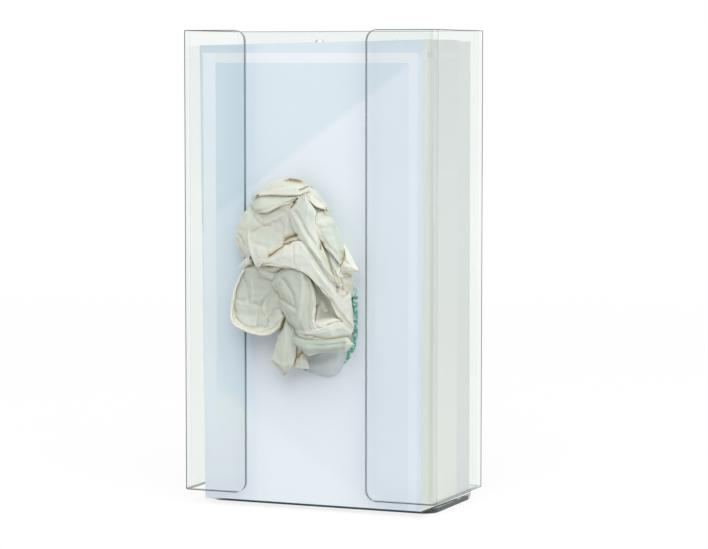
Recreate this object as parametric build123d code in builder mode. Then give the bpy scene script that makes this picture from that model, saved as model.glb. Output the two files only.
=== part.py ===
from build123d import *
# Disposable glove dispenser: a folded clear sheet that holds one carton of gloves.
#
# Millimetres, +Z up. The front faces -Y. The origin is on the underside of the shelf, in the
# middle of the holder's width and depth.

import os

# --- Clear sheet holder: one sheet, six bends -------------------------------------------------
sheet_thickness = 2.4
holder_width = 143.2
holder_depth = 72.8
wall_height = 244.0
shelf_drop = 7.3  # underside of the shelf below the lower edge of the walls
bend_outer_radius = 3.6
left_flange_width = 35.9
right_flange_width = 38.6
flange_corner_radius = 6.0

shelf_width = 129.0
shelf_front_setback = 16.0  # from the flanges' front face to the shelf's front edge
shelf_corner_radius = 8.0
tab_root_radius = 3.5  # inside corner where the tab leaves the walls' lower edge

keyhole_spacing = 47.0
keyhole_slot_width = 5.0
keyhole_head_radius = 5.0
keyhole_travel = 10.0  # from the head hole's centre to the slot's upper centre
keyhole_top_margin = 4.5  # from the slot's upper end to the sheet's upper edge

# --- Paperboard carton ------------------------------------------------------------------------
board_thickness = 0.6
carton_front_gap = 5.0  # from the flanges' front face to the carton's face
carton_depth = 63.9
carton_height_left = 240.9
carton_height_right = 243.7
face_top_left, face_top_right = -63.6, 64.6
face_bottom_left, face_bottom_right = -61.3, 62.2
rear_top_left, rear_top_right = -63.8, 64.8
rear_bottom_left, rear_bottom_right = -64.0, 65.1
cutter_margin = 2.0  # how far a cutting outline stands outside the board
flap_step_width = 17.0  # strip of the inner flap that the outer end flap leaves bare

opening_centre_x = 4.5
opening_centre_height = 100.9  # above the carton's floor
opening_width = 44.0
opening_height = 62.0

# --- Gloves -----------------------------------------------------------------------------------
stack_width = 117.0
stack_depth = 54.0
stack_height = 228.0
stack_layers = 9
layer_bulge = 1.2
stack_face_gap = 6.0  # from the carton's face to the first glove of the stack

neck_clearance = 1.0  # between the torn opening's edge and the gloves in it
neck_overlap = 0.5  # how far the neck runs into the bunch
neck_bottom = 84.0  # the drawn glove fills the opening above this height
next_glove_top = 82.5
next_glove_rise = 1.6  # how far the next glove stands in front of the carton's face

# The drawn glove is a bunch with folds on it. Each is lofted through outlines, back to front: depth
# in front of the carton's face, then points (x, z) clockwise from the top.
bunch_sections = (
    (
        1.2,
        (
            *((-1, 150), (14, 146), (22, 136), (26, 122), (26, 106), (20, 92)),
            *((8, 86), (-6, 87), (-15, 98), (-20, 112), (-20, 128), (-14, 146)),
        ),
    ),
    (
        7.0,
        (
            *((-3, 174.5), (12, 163), (21, 150), (28, 130), (28, 110), (24, 94)),
            *((6, 86), (-8, 90), (-18, 102), (-31, 124), (-31, 146), (-24, 166)),
        ),
    ),
    (
        17.0,
        (
            *((-2, 172.5), (12, 165), (21, 150), (27, 131), (28, 110), (25, 87.5)),
            *((4, 84), (-8, 94), (-15, 108), (-23.5, 126), (-24.5, 148), (-22, 165)),
        ),
    ),
)
outer_fold_sections = (
    (
        15.5,
        (
            *((2, 170), (12, 163), (20, 149), (26.5, 130), (27, 111), (24, 88.5)),
            *((5, 85.5), (-6, 96), (-13, 110), (-22, 128), (-16, 142), (-10, 160)),
        ),
    ),
    (
        22.0,
        (
            *((4, 167), (12, 160), (18, 146), (25, 130), (26, 112), (22, 87)),
            *((4, 86.5), (-3, 97), (-9, 112), (-19, 130), (-8, 142), (-2, 158)),
        ),
    ),
)
crest_sections = (
    (
        20.5,
        (
            *((4.5, 166), (11.5, 159.5), (17.5, 146), (24.5, 130), (25, 113), (21, 92)),
            *((6, 90), (-2, 98), (-8, 112), (-18, 130.5), (-7, 142), (-1, 158)),
        ),
    ),
    (
        26.5,
        (
            *((6, 160), (10, 157), (14, 146), (21, 129), (19, 122), (9, 108)),
            *((5, 103), (1, 106), (-3, 116), (-12, 133), (-1, 142), (4, 155)),
        ),
    ),
)
crown_sections = (
    (15.5, ((-20, 166), (1, 172), (6, 160), (-20, 156))),
    (20.5, ((-10, 167), (0, 169.5), (3, 162), (-14, 160))),
)
side_lobe_sections = (
    (5.5, ((-27, 166), (-20, 160), (-20, 130), (-34, 128), (-39.5, 138), (-40, 150), (-36, 159))),
    (11.0, ((-26, 163), (-20, 158), (-20, 132), (-32, 131), (-36, 140), (-36, 150), (-33, 157))),
)
lofted_forms = (
    bunch_sections,
    outer_fold_sections,
    crest_sections,
    crown_sections,
    side_lobe_sections,
)
pocket_outline = ((11, 116), (14.5, 115), (21, 103), (11, 101))
pocket_floor = 15.5  # depth of the hollow between the crest and the lower fold

# Forms that hang out of the bunch. Each has a front outline (x, z), a near and a far depth in front
# of the carton's face, and a corner radius.
cuff_outline = (
    (-27, 128),
    (-37, 120),
    (-41.3, 106),
    (-37.5, 95.5),
    (-24, 91.5),
    (-13, 97),
    (-9.5, 112),
    (-14, 125),
)
cuff_near, cuff_far, cuff_corner = 6.0, 15.6, 6.0
cuff_rim, cuff_hollow = 2.2, 7.0
finger_outline = ((-3, 112), (-12, 98), (-16.8, 79), (-9.1, 72), (-4, 82), (-2, 100))
finger_bit_outline = ((-6, 94), (4, 92), (2.5, 78), (-5, 77))
side_fold_outline = ((20, 142), (33.5, 128.5), (24, 124), (16, 126))
hanging_forms = (
    (cuff_outline, cuff_near, cuff_far, cuff_corner),
    (finger_outline, 12.0, 18.4, 1.5),
    (finger_bit_outline, 11.2, 15.0, 1.0),
    (side_fold_outline, 12.6, 17.6, 1.0),
)

# --- Derived places ---------------------------------------------------------------------------
front = -holder_depth / 2
back = holder_depth / 2
wall_bottom = shelf_drop
wall_top = shelf_drop + wall_height
half_width = holder_width / 2
carton_face = front + carton_front_gap
carton_rear = carton_face + carton_depth
carton_floor = sheet_thickness
stack_face = carton_face + stack_face_gap
opening_height_centre = carton_floor + opening_centre_height
keyhole_head_height = wall_top - keyhole_top_margin - keyhole_slot_width / 2 - keyhole_travel

os.makedirs("parts", exist_ok=True)


def upright_plane(y):
    """Plane parallel to the front, at depth y, seen from the front: +X right, +Z up."""
    return Plane.XZ.offset(-y)


# Clear holder: flange, wall, back, wall and flange are one channel, and a tab folds forward
# under it as the shelf.
with BuildPart() as clear_holder:
    with BuildSketch(Plane.XY.offset(wall_bottom)):
        with BuildLine():
            FilletPolyline(
                (-half_width + left_flange_width, front),
                (-half_width, front),
                (-half_width, back),
                (half_width, back),
                (half_width, front),
                (half_width - right_flange_width, front),
                radius=bend_outer_radius,
            )
            offset(amount=sheet_thickness, side=Side.RIGHT)
        make_face()
    extrude(amount=wall_height)

    # Rounded free corners of the two front flanges.
    flange_corners = (
        clear_holder.edges()
        .filter_by(Axis.Y)
        .filter_by(lambda edge: abs(edge.center().X) < half_width - bend_outer_radius)
        .filter_by(lambda edge: edge.center().Y < 0)
    )
    fillet(flange_corners, radius=flange_corner_radius)

    # The tab's flat root in the plane of the back, with a rounded inside corner at each side.
    root_bottom = bend_outer_radius
    root_side = shelf_width / 2
    with BuildSketch(upright_plane(back)):
        with BuildLine():
            Line((root_side, root_bottom), (root_side, wall_bottom - tab_root_radius))
            RadiusArc(
                (root_side, wall_bottom - tab_root_radius),
                (root_side + tab_root_radius, wall_bottom),
                tab_root_radius,
            )
            Line((root_side + tab_root_radius, wall_bottom), (0, wall_bottom))
            Line((0, wall_bottom), (0, root_bottom))
            Line((0, root_bottom), (root_side, root_bottom))
        make_face()
        mirror(about=Plane.YZ)
    extrude(amount=sheet_thickness)

    # Bend and shelf, drawn as a side section.
    shelf_front = front + shelf_front_setback
    with BuildSketch(Plane.YZ):
        with BuildLine():
            FilletPolyline(
                (back, root_bottom),
                (back, 0),
                (shelf_front, 0),
                radius=bend_outer_radius * 0.999,
            )
            offset(amount=sheet_thickness, side=Side.RIGHT)
        make_face()
    extrude(amount=shelf_width / 2, both=True)
    shelf_corners = clear_holder.edges().filter_by(Axis.Z).group_by(Axis.Z)[0].group_by(Axis.Y)[0]
    fillet(shelf_corners, radius=shelf_corner_radius)

    # Two keyholes in the back: a round head hole with a narrower slot above it.
    with BuildSketch(upright_plane(back)):
        with Locations(
            (-keyhole_spacing / 2, keyhole_head_height),
            (keyhole_spacing / 2, keyhole_head_height),
        ):
            Circle(keyhole_head_radius)
            with Locations((0, keyhole_travel / 2)):
                SlotCenterToCenter(keyhole_travel, keyhole_slot_width, rotation=90)
    extrude(amount=sheet_thickness, mode=Mode.SUBTRACT)


def carton_outline(bottom_left, bottom_right, top_right, top_left, side_inset=0.0, end_inset=0.0):
    """Closed four-sided outline of the carton, drawn in by an inset at its sides and ends."""
    low = carton_floor + end_inset
    left_top = carton_floor + carton_height_left - end_inset
    right_top = carton_floor + carton_height_right - end_inset
    Polyline(
        (bottom_left + side_inset, low),
        (bottom_right - side_inset, low),
        (top_right - side_inset, right_top),
        (top_left + side_inset, left_top),
        close=True,
    )


face_corners = (face_bottom_left, face_bottom_right, face_top_right, face_top_left)
rear_corners = (rear_bottom_left, rear_bottom_right, rear_top_right, rear_top_left)
end_thickness = 2 * board_thickness  # inner flaps and one outer flap at each end

# Glove carton: a folded and glued paperboard box, a little wider at the top of its face.
with BuildPart() as glove_carton:
    for wall, end, mode in (
        (0, 0, Mode.ADD),
        (board_thickness, end_thickness, Mode.SUBTRACT),
    ):
        with BuildSketch(upright_plane(carton_face + wall)):
            with BuildLine():
                carton_outline(*face_corners, wall, end)
            make_face()
        with BuildSketch(upright_plane(carton_rear - wall)):
            with BuildLine():
                carton_outline(*rear_corners, wall, end)
            make_face()
        loft(ruled=True, mode=mode)

    # The outer end flaps stop short of the rear panel and leave the inner flaps bare there.
    with BuildSketch(upright_plane(carton_rear)):
        with BuildLine():
            carton_outline(*rear_corners, -cutter_margin, -cutter_margin)
        make_face()
        with BuildLine():
            carton_outline(*rear_corners, -2 * cutter_margin, board_thickness)
        make_face(mode=Mode.SUBTRACT)
    extrude(amount=flap_step_width, mode=Mode.SUBTRACT)

    # Oval opening in the face, where the perforated piece was torn out.
    with BuildSketch(upright_plane(carton_face)):
        with Locations((opening_centre_x, opening_height_centre)):
            SlotOverall(opening_height, opening_width, rotation=90)
    extrude(amount=-2 * board_thickness, mode=Mode.SUBTRACT)

# Glove stack: folded gloves packed as leaves parallel to the carton's face.
layer_depth = stack_depth / stack_layers
with BuildPart() as glove_stack:
    with BuildSketch(Plane.XY.offset(carton_floor + end_thickness)):
        with BuildLine():
            for layer in range(stack_layers):
                near = stack_face + layer * layer_depth
                far = near + layer_depth
                side = stack_width / 2
                SagittaArc((side, near), (side, far), -layer_bulge)
                SagittaArc((-side, near), (-side, far), layer_bulge)
            Line((-side, stack_face), (side, stack_face))
            Line((-side, stack_face + stack_depth), (side, stack_face + stack_depth))
        make_face()
    extrude(amount=stack_height)


# Drawn glove: it comes out of the carton's opening, passes between the flanges and hangs in
# front as a crumpled bunch of folds, with its cuff, a finger and a pointed side fold.
with BuildPart() as drawn_glove:
    for sections in lofted_forms:
        form_faces = []
        for depth, outline in sections:
            with BuildSketch(upright_plane(carton_face - depth), mode=Mode.PRIVATE) as section:
                with BuildLine():
                    Polyline(*outline, close=True)
                make_face()
            form_faces.append(section.sketch.face())
        loft(form_faces, ruled=True)
    for outline, near, far, corner in hanging_forms:
        with BuildSketch(upright_plane(carton_face - near)):
            with BuildLine():
                FilletPolyline(*outline, radius=corner, close=True)
            make_face()
        extrude(amount=far - near)

    # A hollow stays open between the crest and the lower fold.
    with BuildSketch(upright_plane(carton_face - crest_sections[1][0])):
        with BuildLine():
            Polyline(*pocket_outline, close=True)
        make_face()
    extrude(amount=pocket_floor - crest_sections[1][0], mode=Mode.SUBTRACT)

    # The cuff is a shallow bowl of latex inside its rolled rim.
    with BuildSketch(upright_plane(carton_face - cuff_far)):
        with BuildLine():
            FilletPolyline(*cuff_outline, radius=cuff_corner, close=True)
            offset(amount=-cuff_rim)
        make_face()
    extrude(amount=-cuff_hollow, mode=Mode.SUBTRACT)

    # Neck that fills the opening, back to the first glove of the stack.
    with BuildSketch(upright_plane(stack_face)):
        with Locations((opening_centre_x, opening_height_centre)):
            SlotOverall(
                opening_height - 2 * neck_clearance,
                opening_width - 2 * neck_clearance,
                rotation=90,
            )
        with Locations((opening_centre_x, neck_bottom)):
            Rectangle(
                opening_width,
                opening_height,
                align=(Align.CENTER, Align.MAX),
                mode=Mode.SUBTRACT,
            )
    extrude(amount=stack_face_gap + bunch_sections[0][0] + neck_overlap)

# Next glove: the fold of the following glove that lies in the lower end of the opening.
with BuildPart() as next_glove:
    with BuildSketch(upright_plane(stack_face)):
        with Locations((opening_centre_x, opening_height_centre)):
            SlotOverall(
                opening_height - 2 * neck_clearance,
                opening_width - 2 * neck_clearance,
                rotation=90,
            )
        with Locations((opening_centre_x, next_glove_top)):
            Rectangle(
                opening_width,
                opening_height,
                align=(Align.CENTER, Align.MIN),
                mode=Mode.SUBTRACT,
            )
    extrude(amount=stack_face_gap + next_glove_rise)

for name, piece in (
    ("clear_holder", clear_holder),
    ("glove_carton", glove_carton),
    ("glove_stack", glove_stack),
    ("drawn_glove", drawn_glove),
    ("next_glove", next_glove),
):
    piece.part.label = name
    export_step(piece.part, f"parts/{name}.step")
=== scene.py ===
import logging
import math
from dataclasses import dataclass
from enum import Enum

import bpy
import numpy as np
from mathutils import Matrix, Vector, noise
from mathutils.bvhtree import BVHTree


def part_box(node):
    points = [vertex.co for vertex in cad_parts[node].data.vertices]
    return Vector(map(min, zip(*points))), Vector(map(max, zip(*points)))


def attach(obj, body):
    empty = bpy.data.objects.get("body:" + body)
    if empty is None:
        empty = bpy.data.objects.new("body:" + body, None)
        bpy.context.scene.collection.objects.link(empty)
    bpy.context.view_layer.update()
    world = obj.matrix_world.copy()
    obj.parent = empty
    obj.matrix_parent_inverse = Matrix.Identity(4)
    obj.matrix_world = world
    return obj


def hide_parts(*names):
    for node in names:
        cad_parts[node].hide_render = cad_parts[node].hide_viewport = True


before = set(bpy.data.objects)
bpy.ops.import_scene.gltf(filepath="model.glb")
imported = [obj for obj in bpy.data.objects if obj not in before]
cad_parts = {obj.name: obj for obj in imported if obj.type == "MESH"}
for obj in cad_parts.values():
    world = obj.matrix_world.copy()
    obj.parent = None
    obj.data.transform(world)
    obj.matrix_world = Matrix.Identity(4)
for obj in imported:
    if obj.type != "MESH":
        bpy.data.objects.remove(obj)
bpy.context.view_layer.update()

Tree = bpy.types.NodeTree
Socket = bpy.types.NodeSocket
Point = tuple[float, float, float]

LOG = logging.getLogger("glove_dispenser")
MM = 0.001
# Outer face of the front flanges and face of the carton, as depths in mm.
FLANGE_FACE = -36.4
CARTON_FACE = -31.4
WHITE = "FFFFFF"


# --- Nodes and pieces ---------------------------------------------------------------------------


def linear(hex_colour: str) -> tuple[float, float, float, float]:
    """Turns an sRGB hex colour into the linear colour that a shader takes.

    Args:
        hex_colour: colour such as "EDE8D6".

    Returns:
        Linear red, green, blue and an alpha of 1.
    """
    parts = [int(hex_colour[i : i + 2], 16) / 255 for i in (0, 2, 4)]
    lit = [p / 12.92 if p <= 0.04045 else ((p + 0.055) / 1.055) ** 2.4 for p in parts]
    return (lit[0], lit[1], lit[2], 1.0)


def add(tree: Tree, kind: str, inputs: dict | None = None, **settings: object) -> bpy.types.Node:
    """Adds one node with its settings and links.

    Args:
        tree: node tree that takes the node.
        kind: Blender's name of the node's type.
        inputs: value or output socket for each input, by the input's name or number.
        **settings: attributes of the node. "stops" fills a colour ramp with (place, hex colour) pairs.

    Returns:
        The new node.
    """
    node = tree.nodes.new(kind)
    for key, value in settings.items():
        if key != "stops":
            setattr(node, key, value)
            continue
        ramp = node.color_ramp
        while len(ramp.elements) < len(value):
            ramp.elements.new(0.5)
        # Moving a stop can change the order of the stops, so their colours come after all the moves.
        for element, (place, _) in zip(ramp.elements, value):
            element.position = place
        for element, (_, colour) in zip(ramp.elements, value):
            element.color = linear(colour)
    for key, value in (inputs or {}).items():
        if isinstance(value, bpy.types.NodeSocket):
            tree.links.new(value, node.inputs[key])
        else:
            node.inputs[key].default_value = value
    return node


def maths(tree: Tree, operation: str, *values: Socket | float) -> Socket:
    """Works out one step of arithmetic.

    Args:
        tree: node tree that takes the node.
        operation: Blender's name of the step, such as "MULTIPLY".
        *values: what it works on.

    Returns:
        The result.
    """
    return add(tree, "ShaderNodeMath", dict(enumerate(values)), operation=operation).outputs[0]


def spread(
    tree: Tree,
    value: Socket,
    low: float,
    high: float,
    to_low: float = 0.0,
    to_high: float = 1.0,
    smooth: bool = False,
) -> Socket:
    """Spreads the stretch between two limits over a new range, and holds the values beyond them.

    Args:
        tree: node tree that takes the node.
        value: the value.
        low: lower limit.
        high: upper limit.
        to_low: result at the lower limit.
        to_high: result at the upper limit.
        smooth: whether the result eases in and out.

    Returns:
        The result.
    """
    ends = {"Value": value, "From Min": low, "From Max": high, "To Min": to_low, "To Max": to_high}
    how = "SMOOTHSTEP" if smooth else "LINEAR"
    return add(tree, "ShaderNodeMapRange", ends, interpolation_type=how).outputs[0]


def band(tree: Tree, value: Socket, low: float, high: float, soft: float = 0.3) -> Socket:
    """Masks the places where a value lies between two limits.

    Args:
        tree: node tree that takes the nodes.
        value: the value, such as a place across the board in mm.
        low: lower limit.
        high: upper limit.
        soft: half the width over which the mask fades at each limit.

    Returns:
        The mask, 1 inside and 0 outside.
    """
    rise = spread(tree, value, low - soft, low + soft, smooth=True)
    fall = spread(tree, value, high - soft, high + soft, 1.0, 0.0, smooth=True)
    return maths(tree, "MULTIPLY", rise, fall)


def both(tree: Tree, *masks: Socket) -> Socket:
    """Keeps what all the masks hold.

    Args:
        tree: node tree that takes the nodes.
        *masks: masks from 0 to 1.

    Returns:
        The shared mask.
    """
    shared = masks[0]
    for mask in masks[1:]:
        shared = maths(tree, "MULTIPLY", shared, mask)
    return shared


def laid_over(tree: Tree, under: Socket | str, mask: Socket, over: Socket | str, how: str = "MIX") -> Socket:
    """Lays one colour over another where a mask says so.

    Args:
        tree: node tree that takes the node.
        under: colour below, as a socket or an sRGB hex colour.
        mask: where the upper colour shows, from 0 to 1.
        over: upper colour, as a socket or an sRGB hex colour.
        how: how the colours mix, such as "MIX" or "MULTIPLY".

    Returns:
        The mixed colour.
    """
    lower, upper = (linear(colour) if isinstance(colour, str) else colour for colour in (under, over))
    mixed = add(tree, "ShaderNodeMix", {0: mask, 6: lower, 7: upper}, data_type="RGBA", blend_type=how)
    return mixed.outputs[2]


def pattern(
    tree: Tree, place: Socket, scale: float, detail: float, distortion: float = 0.0, **settings: object
) -> Socket:
    """Adds a random pattern.

    Args:
        tree: node tree that takes the node.
        place: the place, in mm or in metres.
        scale: how many of its grains lie side by side on one unit of the place.
        detail: how much finer the pattern goes.
        distortion: how far it is warped.
        **settings: attributes of the node.

    Returns:
        The pattern, from 0 to 1.
    """
    inputs = {"Vector": place, "Scale": scale, "Detail": detail, "Distortion": distortion}
    return add(tree, "ShaderNodeTexNoise", inputs, **settings).outputs["Fac"]


def relief(
    tree: Tree, height: Socket, distance: float, strength: float, under: Socket | None = None
) -> Socket:
    """Turns a pattern into relief.

    Args:
        tree: node tree that takes the node.
        height: the pattern.
        distance: its height in metres.
        strength: how much of that height counts.
        under: relief that this one lies on.

    Returns:
        The bent normal.
    """
    inputs = {"Height": height, "Distance": distance, "Strength": strength}
    if under is not None:
        inputs["Normal"] = under
    return add(tree, "ShaderNodeBump", inputs).outputs[0]


def place_in_mm(tree: Tree) -> tuple[Socket, Socket, Socket, Socket]:
    """Finds the place on the part in mm.

    Args:
        tree: node tree that takes the nodes.

    Returns:
        The whole place, and then its x, y and z.
    """
    place = add(tree, "ShaderNodeTexCoord").outputs["Object"]
    whole = add(tree, "ShaderNodeVectorMath", {0: place, 1: (1.0 / MM,) * 3}, operation="MULTIPLY").outputs[0]
    at = add(tree, "ShaderNodeSeparateXYZ", {0: whole}).outputs
    return whole, at["X"], at["Y"], at["Z"]


def new_material(name: str) -> tuple[bpy.types.Material, Tree]:
    """Makes an empty node material.

    Args:
        name: the real material's name.

    Returns:
        The material and its node tree.
    """
    material = bpy.data.materials.new(name)
    material.use_nodes = True
    material.node_tree.nodes.clear()
    return material, material.node_tree


def new_mesh(name: str, points: list, faces: list) -> bpy.types.Mesh:
    """Makes a mesh.

    Args:
        name: the mesh's name.
        points: its points in mm.
        faces: its faces, as numbers of points.

    Returns:
        The mesh, in metres.
    """
    mesh = bpy.data.meshes.new(name)
    mesh.from_pydata([tuple(c * MM for c in point) for point in points], [], faces)
    mesh.update()
    return mesh


def sleeve(rings: int, around: int, outward: bool) -> list[tuple[int, ...]]:
    """Joins closed rings of points into a sleeve.

    Args:
        rings: how many rings there are.
        around: how many points each ring has.
        outward: whether the faces run from each ring to the next, or back.

    Returns:
        The faces, as numbers of points.
    """
    faces = []
    for ring in range(rings - 1):
        here, below = ring * around, (ring + 1) * around
        for step in range(around):
            after = (step + 1) % around
            face = (here + step, here + after, below + after, below + step)
            faces.append((face[0], *face[:0:-1]) if outward else face)
    return faces


def new_object(name: str, mesh: bpy.types.Mesh, material: bpy.types.Material) -> bpy.types.Object:
    """Links a mesh into the scene as a piece that rides on the dispenser.

    Args:
        name: the piece's name.
        mesh: its mesh, in metres in the row frame.
        material: its finish.

    Returns:
        The new object.
    """
    piece = bpy.data.objects.new(name, mesh)
    bpy.context.scene.collection.objects.link(piece)
    mesh.materials.append(material)
    for polygon in mesh.polygons:
        polygon.use_smooth = True
    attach(piece, "root")
    LOG.info("%s: %d faces", name, len(mesh.polygons))
    return piece


# --- Finishes -----------------------------------------------------------------------------------


@dataclass(frozen=True)
class ClearPetg:
    """Clear PETG sheet, line bent, with machine cut edges."""

    # What one face, a bend and the back let through, so the sheet looks faintly green.
    lost_each_face: str = "FEFFFE"
    lost_in_bend: str = "F8FAF8"
    lost_at_back: str = "F9FBFA"
    # Sawn edges are painted grey, a painted shade for the darker surroundings that a clear edge refracts;
    # lighter at the back, and darkest at the shelf as painted shade under the carton.
    cut_edge: str = "7C8483"
    back_edge: str = "C6CDCB"
    shaded_shelf_edge: str = "34393A"
    bend_line: str = "1C1F1F"
    rim_line: str = "A0A7A5"
    back_rim_line: str = "D3D9D7"
    # How far from a sawn end the sheet's eased edge turns light away, in mm.
    rim: float = 0.4
    top: float = 251.3
    foot: float = 7.3
    shelf_top: float = 2.4
    carton_top: float = 247.0
    # Where the bends begin, as distances from the middle in mm.
    bend_across: float = 68.0
    bend_deep: float = 32.6
    # A face looks along an axis where that part of its normal is over this.
    looks_along: float = 0.4
    # Share of a bend's dark line that the carton's glow fills where it stands close behind.
    glow_share: float = 0.7
    # Reflectance of plastic of IOR 1.55 met square on, and how that grows towards grazing.
    square_on: float = 0.046
    grazing_power: float = 5.0
    ior: float = 1.55
    roughness: float = 0.02
    edge_roughness: float = 0.35
    # Patches of handling haze to the mm, so they are about 17 mm wide.
    haze_per_mm: float = 0.06

    def build(self) -> bpy.types.Material:
        """Builds the sheet: clear faces, dark lines where a bend or a rim turns away, and grey cut edges.

        Returns:
            The material.
        """
        material, tree = new_material("PETG_clear_sheet")
        in_mm, x, y, z = place_in_mm(tree)
        geometry = add(tree, "ShaderNodeNewGeometry").outputs
        facing = add(tree, "ShaderNodeSeparateXYZ", {0: geometry["True Normal"]}).outputs
        across = maths(tree, "ABSOLUTE", x)
        deep = maths(tree, "ABSOLUTE", y)
        back = maths(tree, "GREATER_THAN", y, self.bend_deep)
        low = maths(tree, "LESS_THAN", z, self.shelf_top)
        # Wall and flange ends at the top show their sawn faces.
        up = maths(tree, "GREATER_THAN", maths(tree, "ABSOLUTE", facing["Z"]), self.looks_along)
        ends = both(tree, up, maths(tree, "GREATER_THAN", z, self.carton_top))
        # The flanges' and the shelf's free edges look sideways, between the walls.
        side = maths(tree, "GREATER_THAN", maths(tree, "ABSOLUTE", facing["X"]), self.looks_along)
        free = both(tree, side, maths(tree, "LESS_THAN", across, self.bend_across - 0.2))
        # The shelf's front edge.
        lip = both(tree, maths(tree, "LESS_THAN", facing["Y"], -self.looks_along), low)
        # Light passes on through a cut edge, so the edge throws no shadow.
        lit = maths(tree, "SUBTRACT", 1.0, add(tree, "ShaderNodeLightPath").outputs["Is Shadow Ray"])
        edge = both(tree, maths(tree, "MAXIMUM", maths(tree, "MAXIMUM", ends, free), lip), lit)
        # Painted shade on the sawn edges: grey, darkest at the shelf under the carton, lighter at the back.
        edge_colour = laid_over(tree, self.cut_edge, low, self.shaded_shelf_edge)
        edge_colour = laid_over(tree, edge_colour, back, self.back_edge)
        # Handling haze roughens the faces a little.
        haze = pattern(tree, in_mm, self.haze_per_mm, 3.0)
        rough = spread(tree, haze, 0.35, 0.75, self.roughness, self.roughness * 2)
        # A bend's outer face turns the light away where it is seen edge on, so it shows as a dark line.
        turned = add(tree, "ShaderNodeLayerWeight", {"Blend": 0.5}).outputs["Facing"]
        near_bend = maths(tree, "GREATER_THAN", deep, self.bend_deep)
        bend = both(tree, near_bend, maths(tree, "GREATER_THAN", across, self.bend_across))
        away = maths(tree, "GREATER_THAN", maths(tree, "MULTIPLY", facing["X"], x), 0.0)
        outer = maths(tree, "ABSOLUTE", maths(tree, "SUBTRACT", away, geometry["Backfacing"]))
        line = both(tree, spread(tree, turned, 0.52, 0.68, smooth=True), bend, outer, lit)
        # Where the carton stands close behind a front bend, its glow fills most of that line.
        close = band(tree, z, self.foot + 3.5, self.carton_top, 0.8)
        filled = both(tree, band(tree, y, -80.0, 0.0), band(tree, x, 0.0, 90.0), close)
        line = both(tree, line, maths(tree, "MULTIPLY_ADD", filled, -self.glow_share, 1.0))
        tint = laid_over(tree, self.lost_each_face, back, self.lost_at_back)
        tint = laid_over(tree, tint, bend, self.lost_in_bend)
        tint = laid_over(tree, tint, line, self.bend_line)
        # The eased rims at the sheet's ends do the same.
        top_rim = maths(tree, "GREATER_THAN", z, self.top - self.rim)
        foot_rim = band(tree, z, self.foot - 0.2, self.foot + self.rim, 0.05)
        rims = both(tree, maths(tree, "MAXIMUM", top_rim, foot_rim), lit)
        tint = laid_over(tree, tint, rims, laid_over(tree, self.rim_line, back, self.back_rim_line))
        through = add(tree, "ShaderNodeBsdfTransparent", {"Color": tint}).outputs[0]
        shine = {"Color": linear(WHITE), "Roughness": rough}
        mirrored = add(tree, "ShaderNodeBsdfGlossy", shine).outputs[0]
        grazing = maths(tree, "POWER", turned, self.grazing_power)
        share = maths(tree, "MULTIPLY_ADD", grazing, 1.0 - self.square_on, self.square_on)
        share = both(tree, share, maths(tree, "SUBTRACT", 1.0, line))
        sheet = add(tree, "ShaderNodeMixShader", {0: share, 1: through, 2: mirrored}).outputs[0]
        sawn = {"Base Color": edge_colour, "Roughness": self.edge_roughness, "IOR": self.ior}
        cut = add(tree, "ShaderNodeBsdfPrincipled", sawn).outputs[0]
        mixed = add(tree, "ShaderNodeMixShader", {0: edge, 1: sheet, 2: cut}).outputs[0]
        add(tree, "ShaderNodeOutputMaterial", {"Surface": mixed})
        return material


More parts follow.
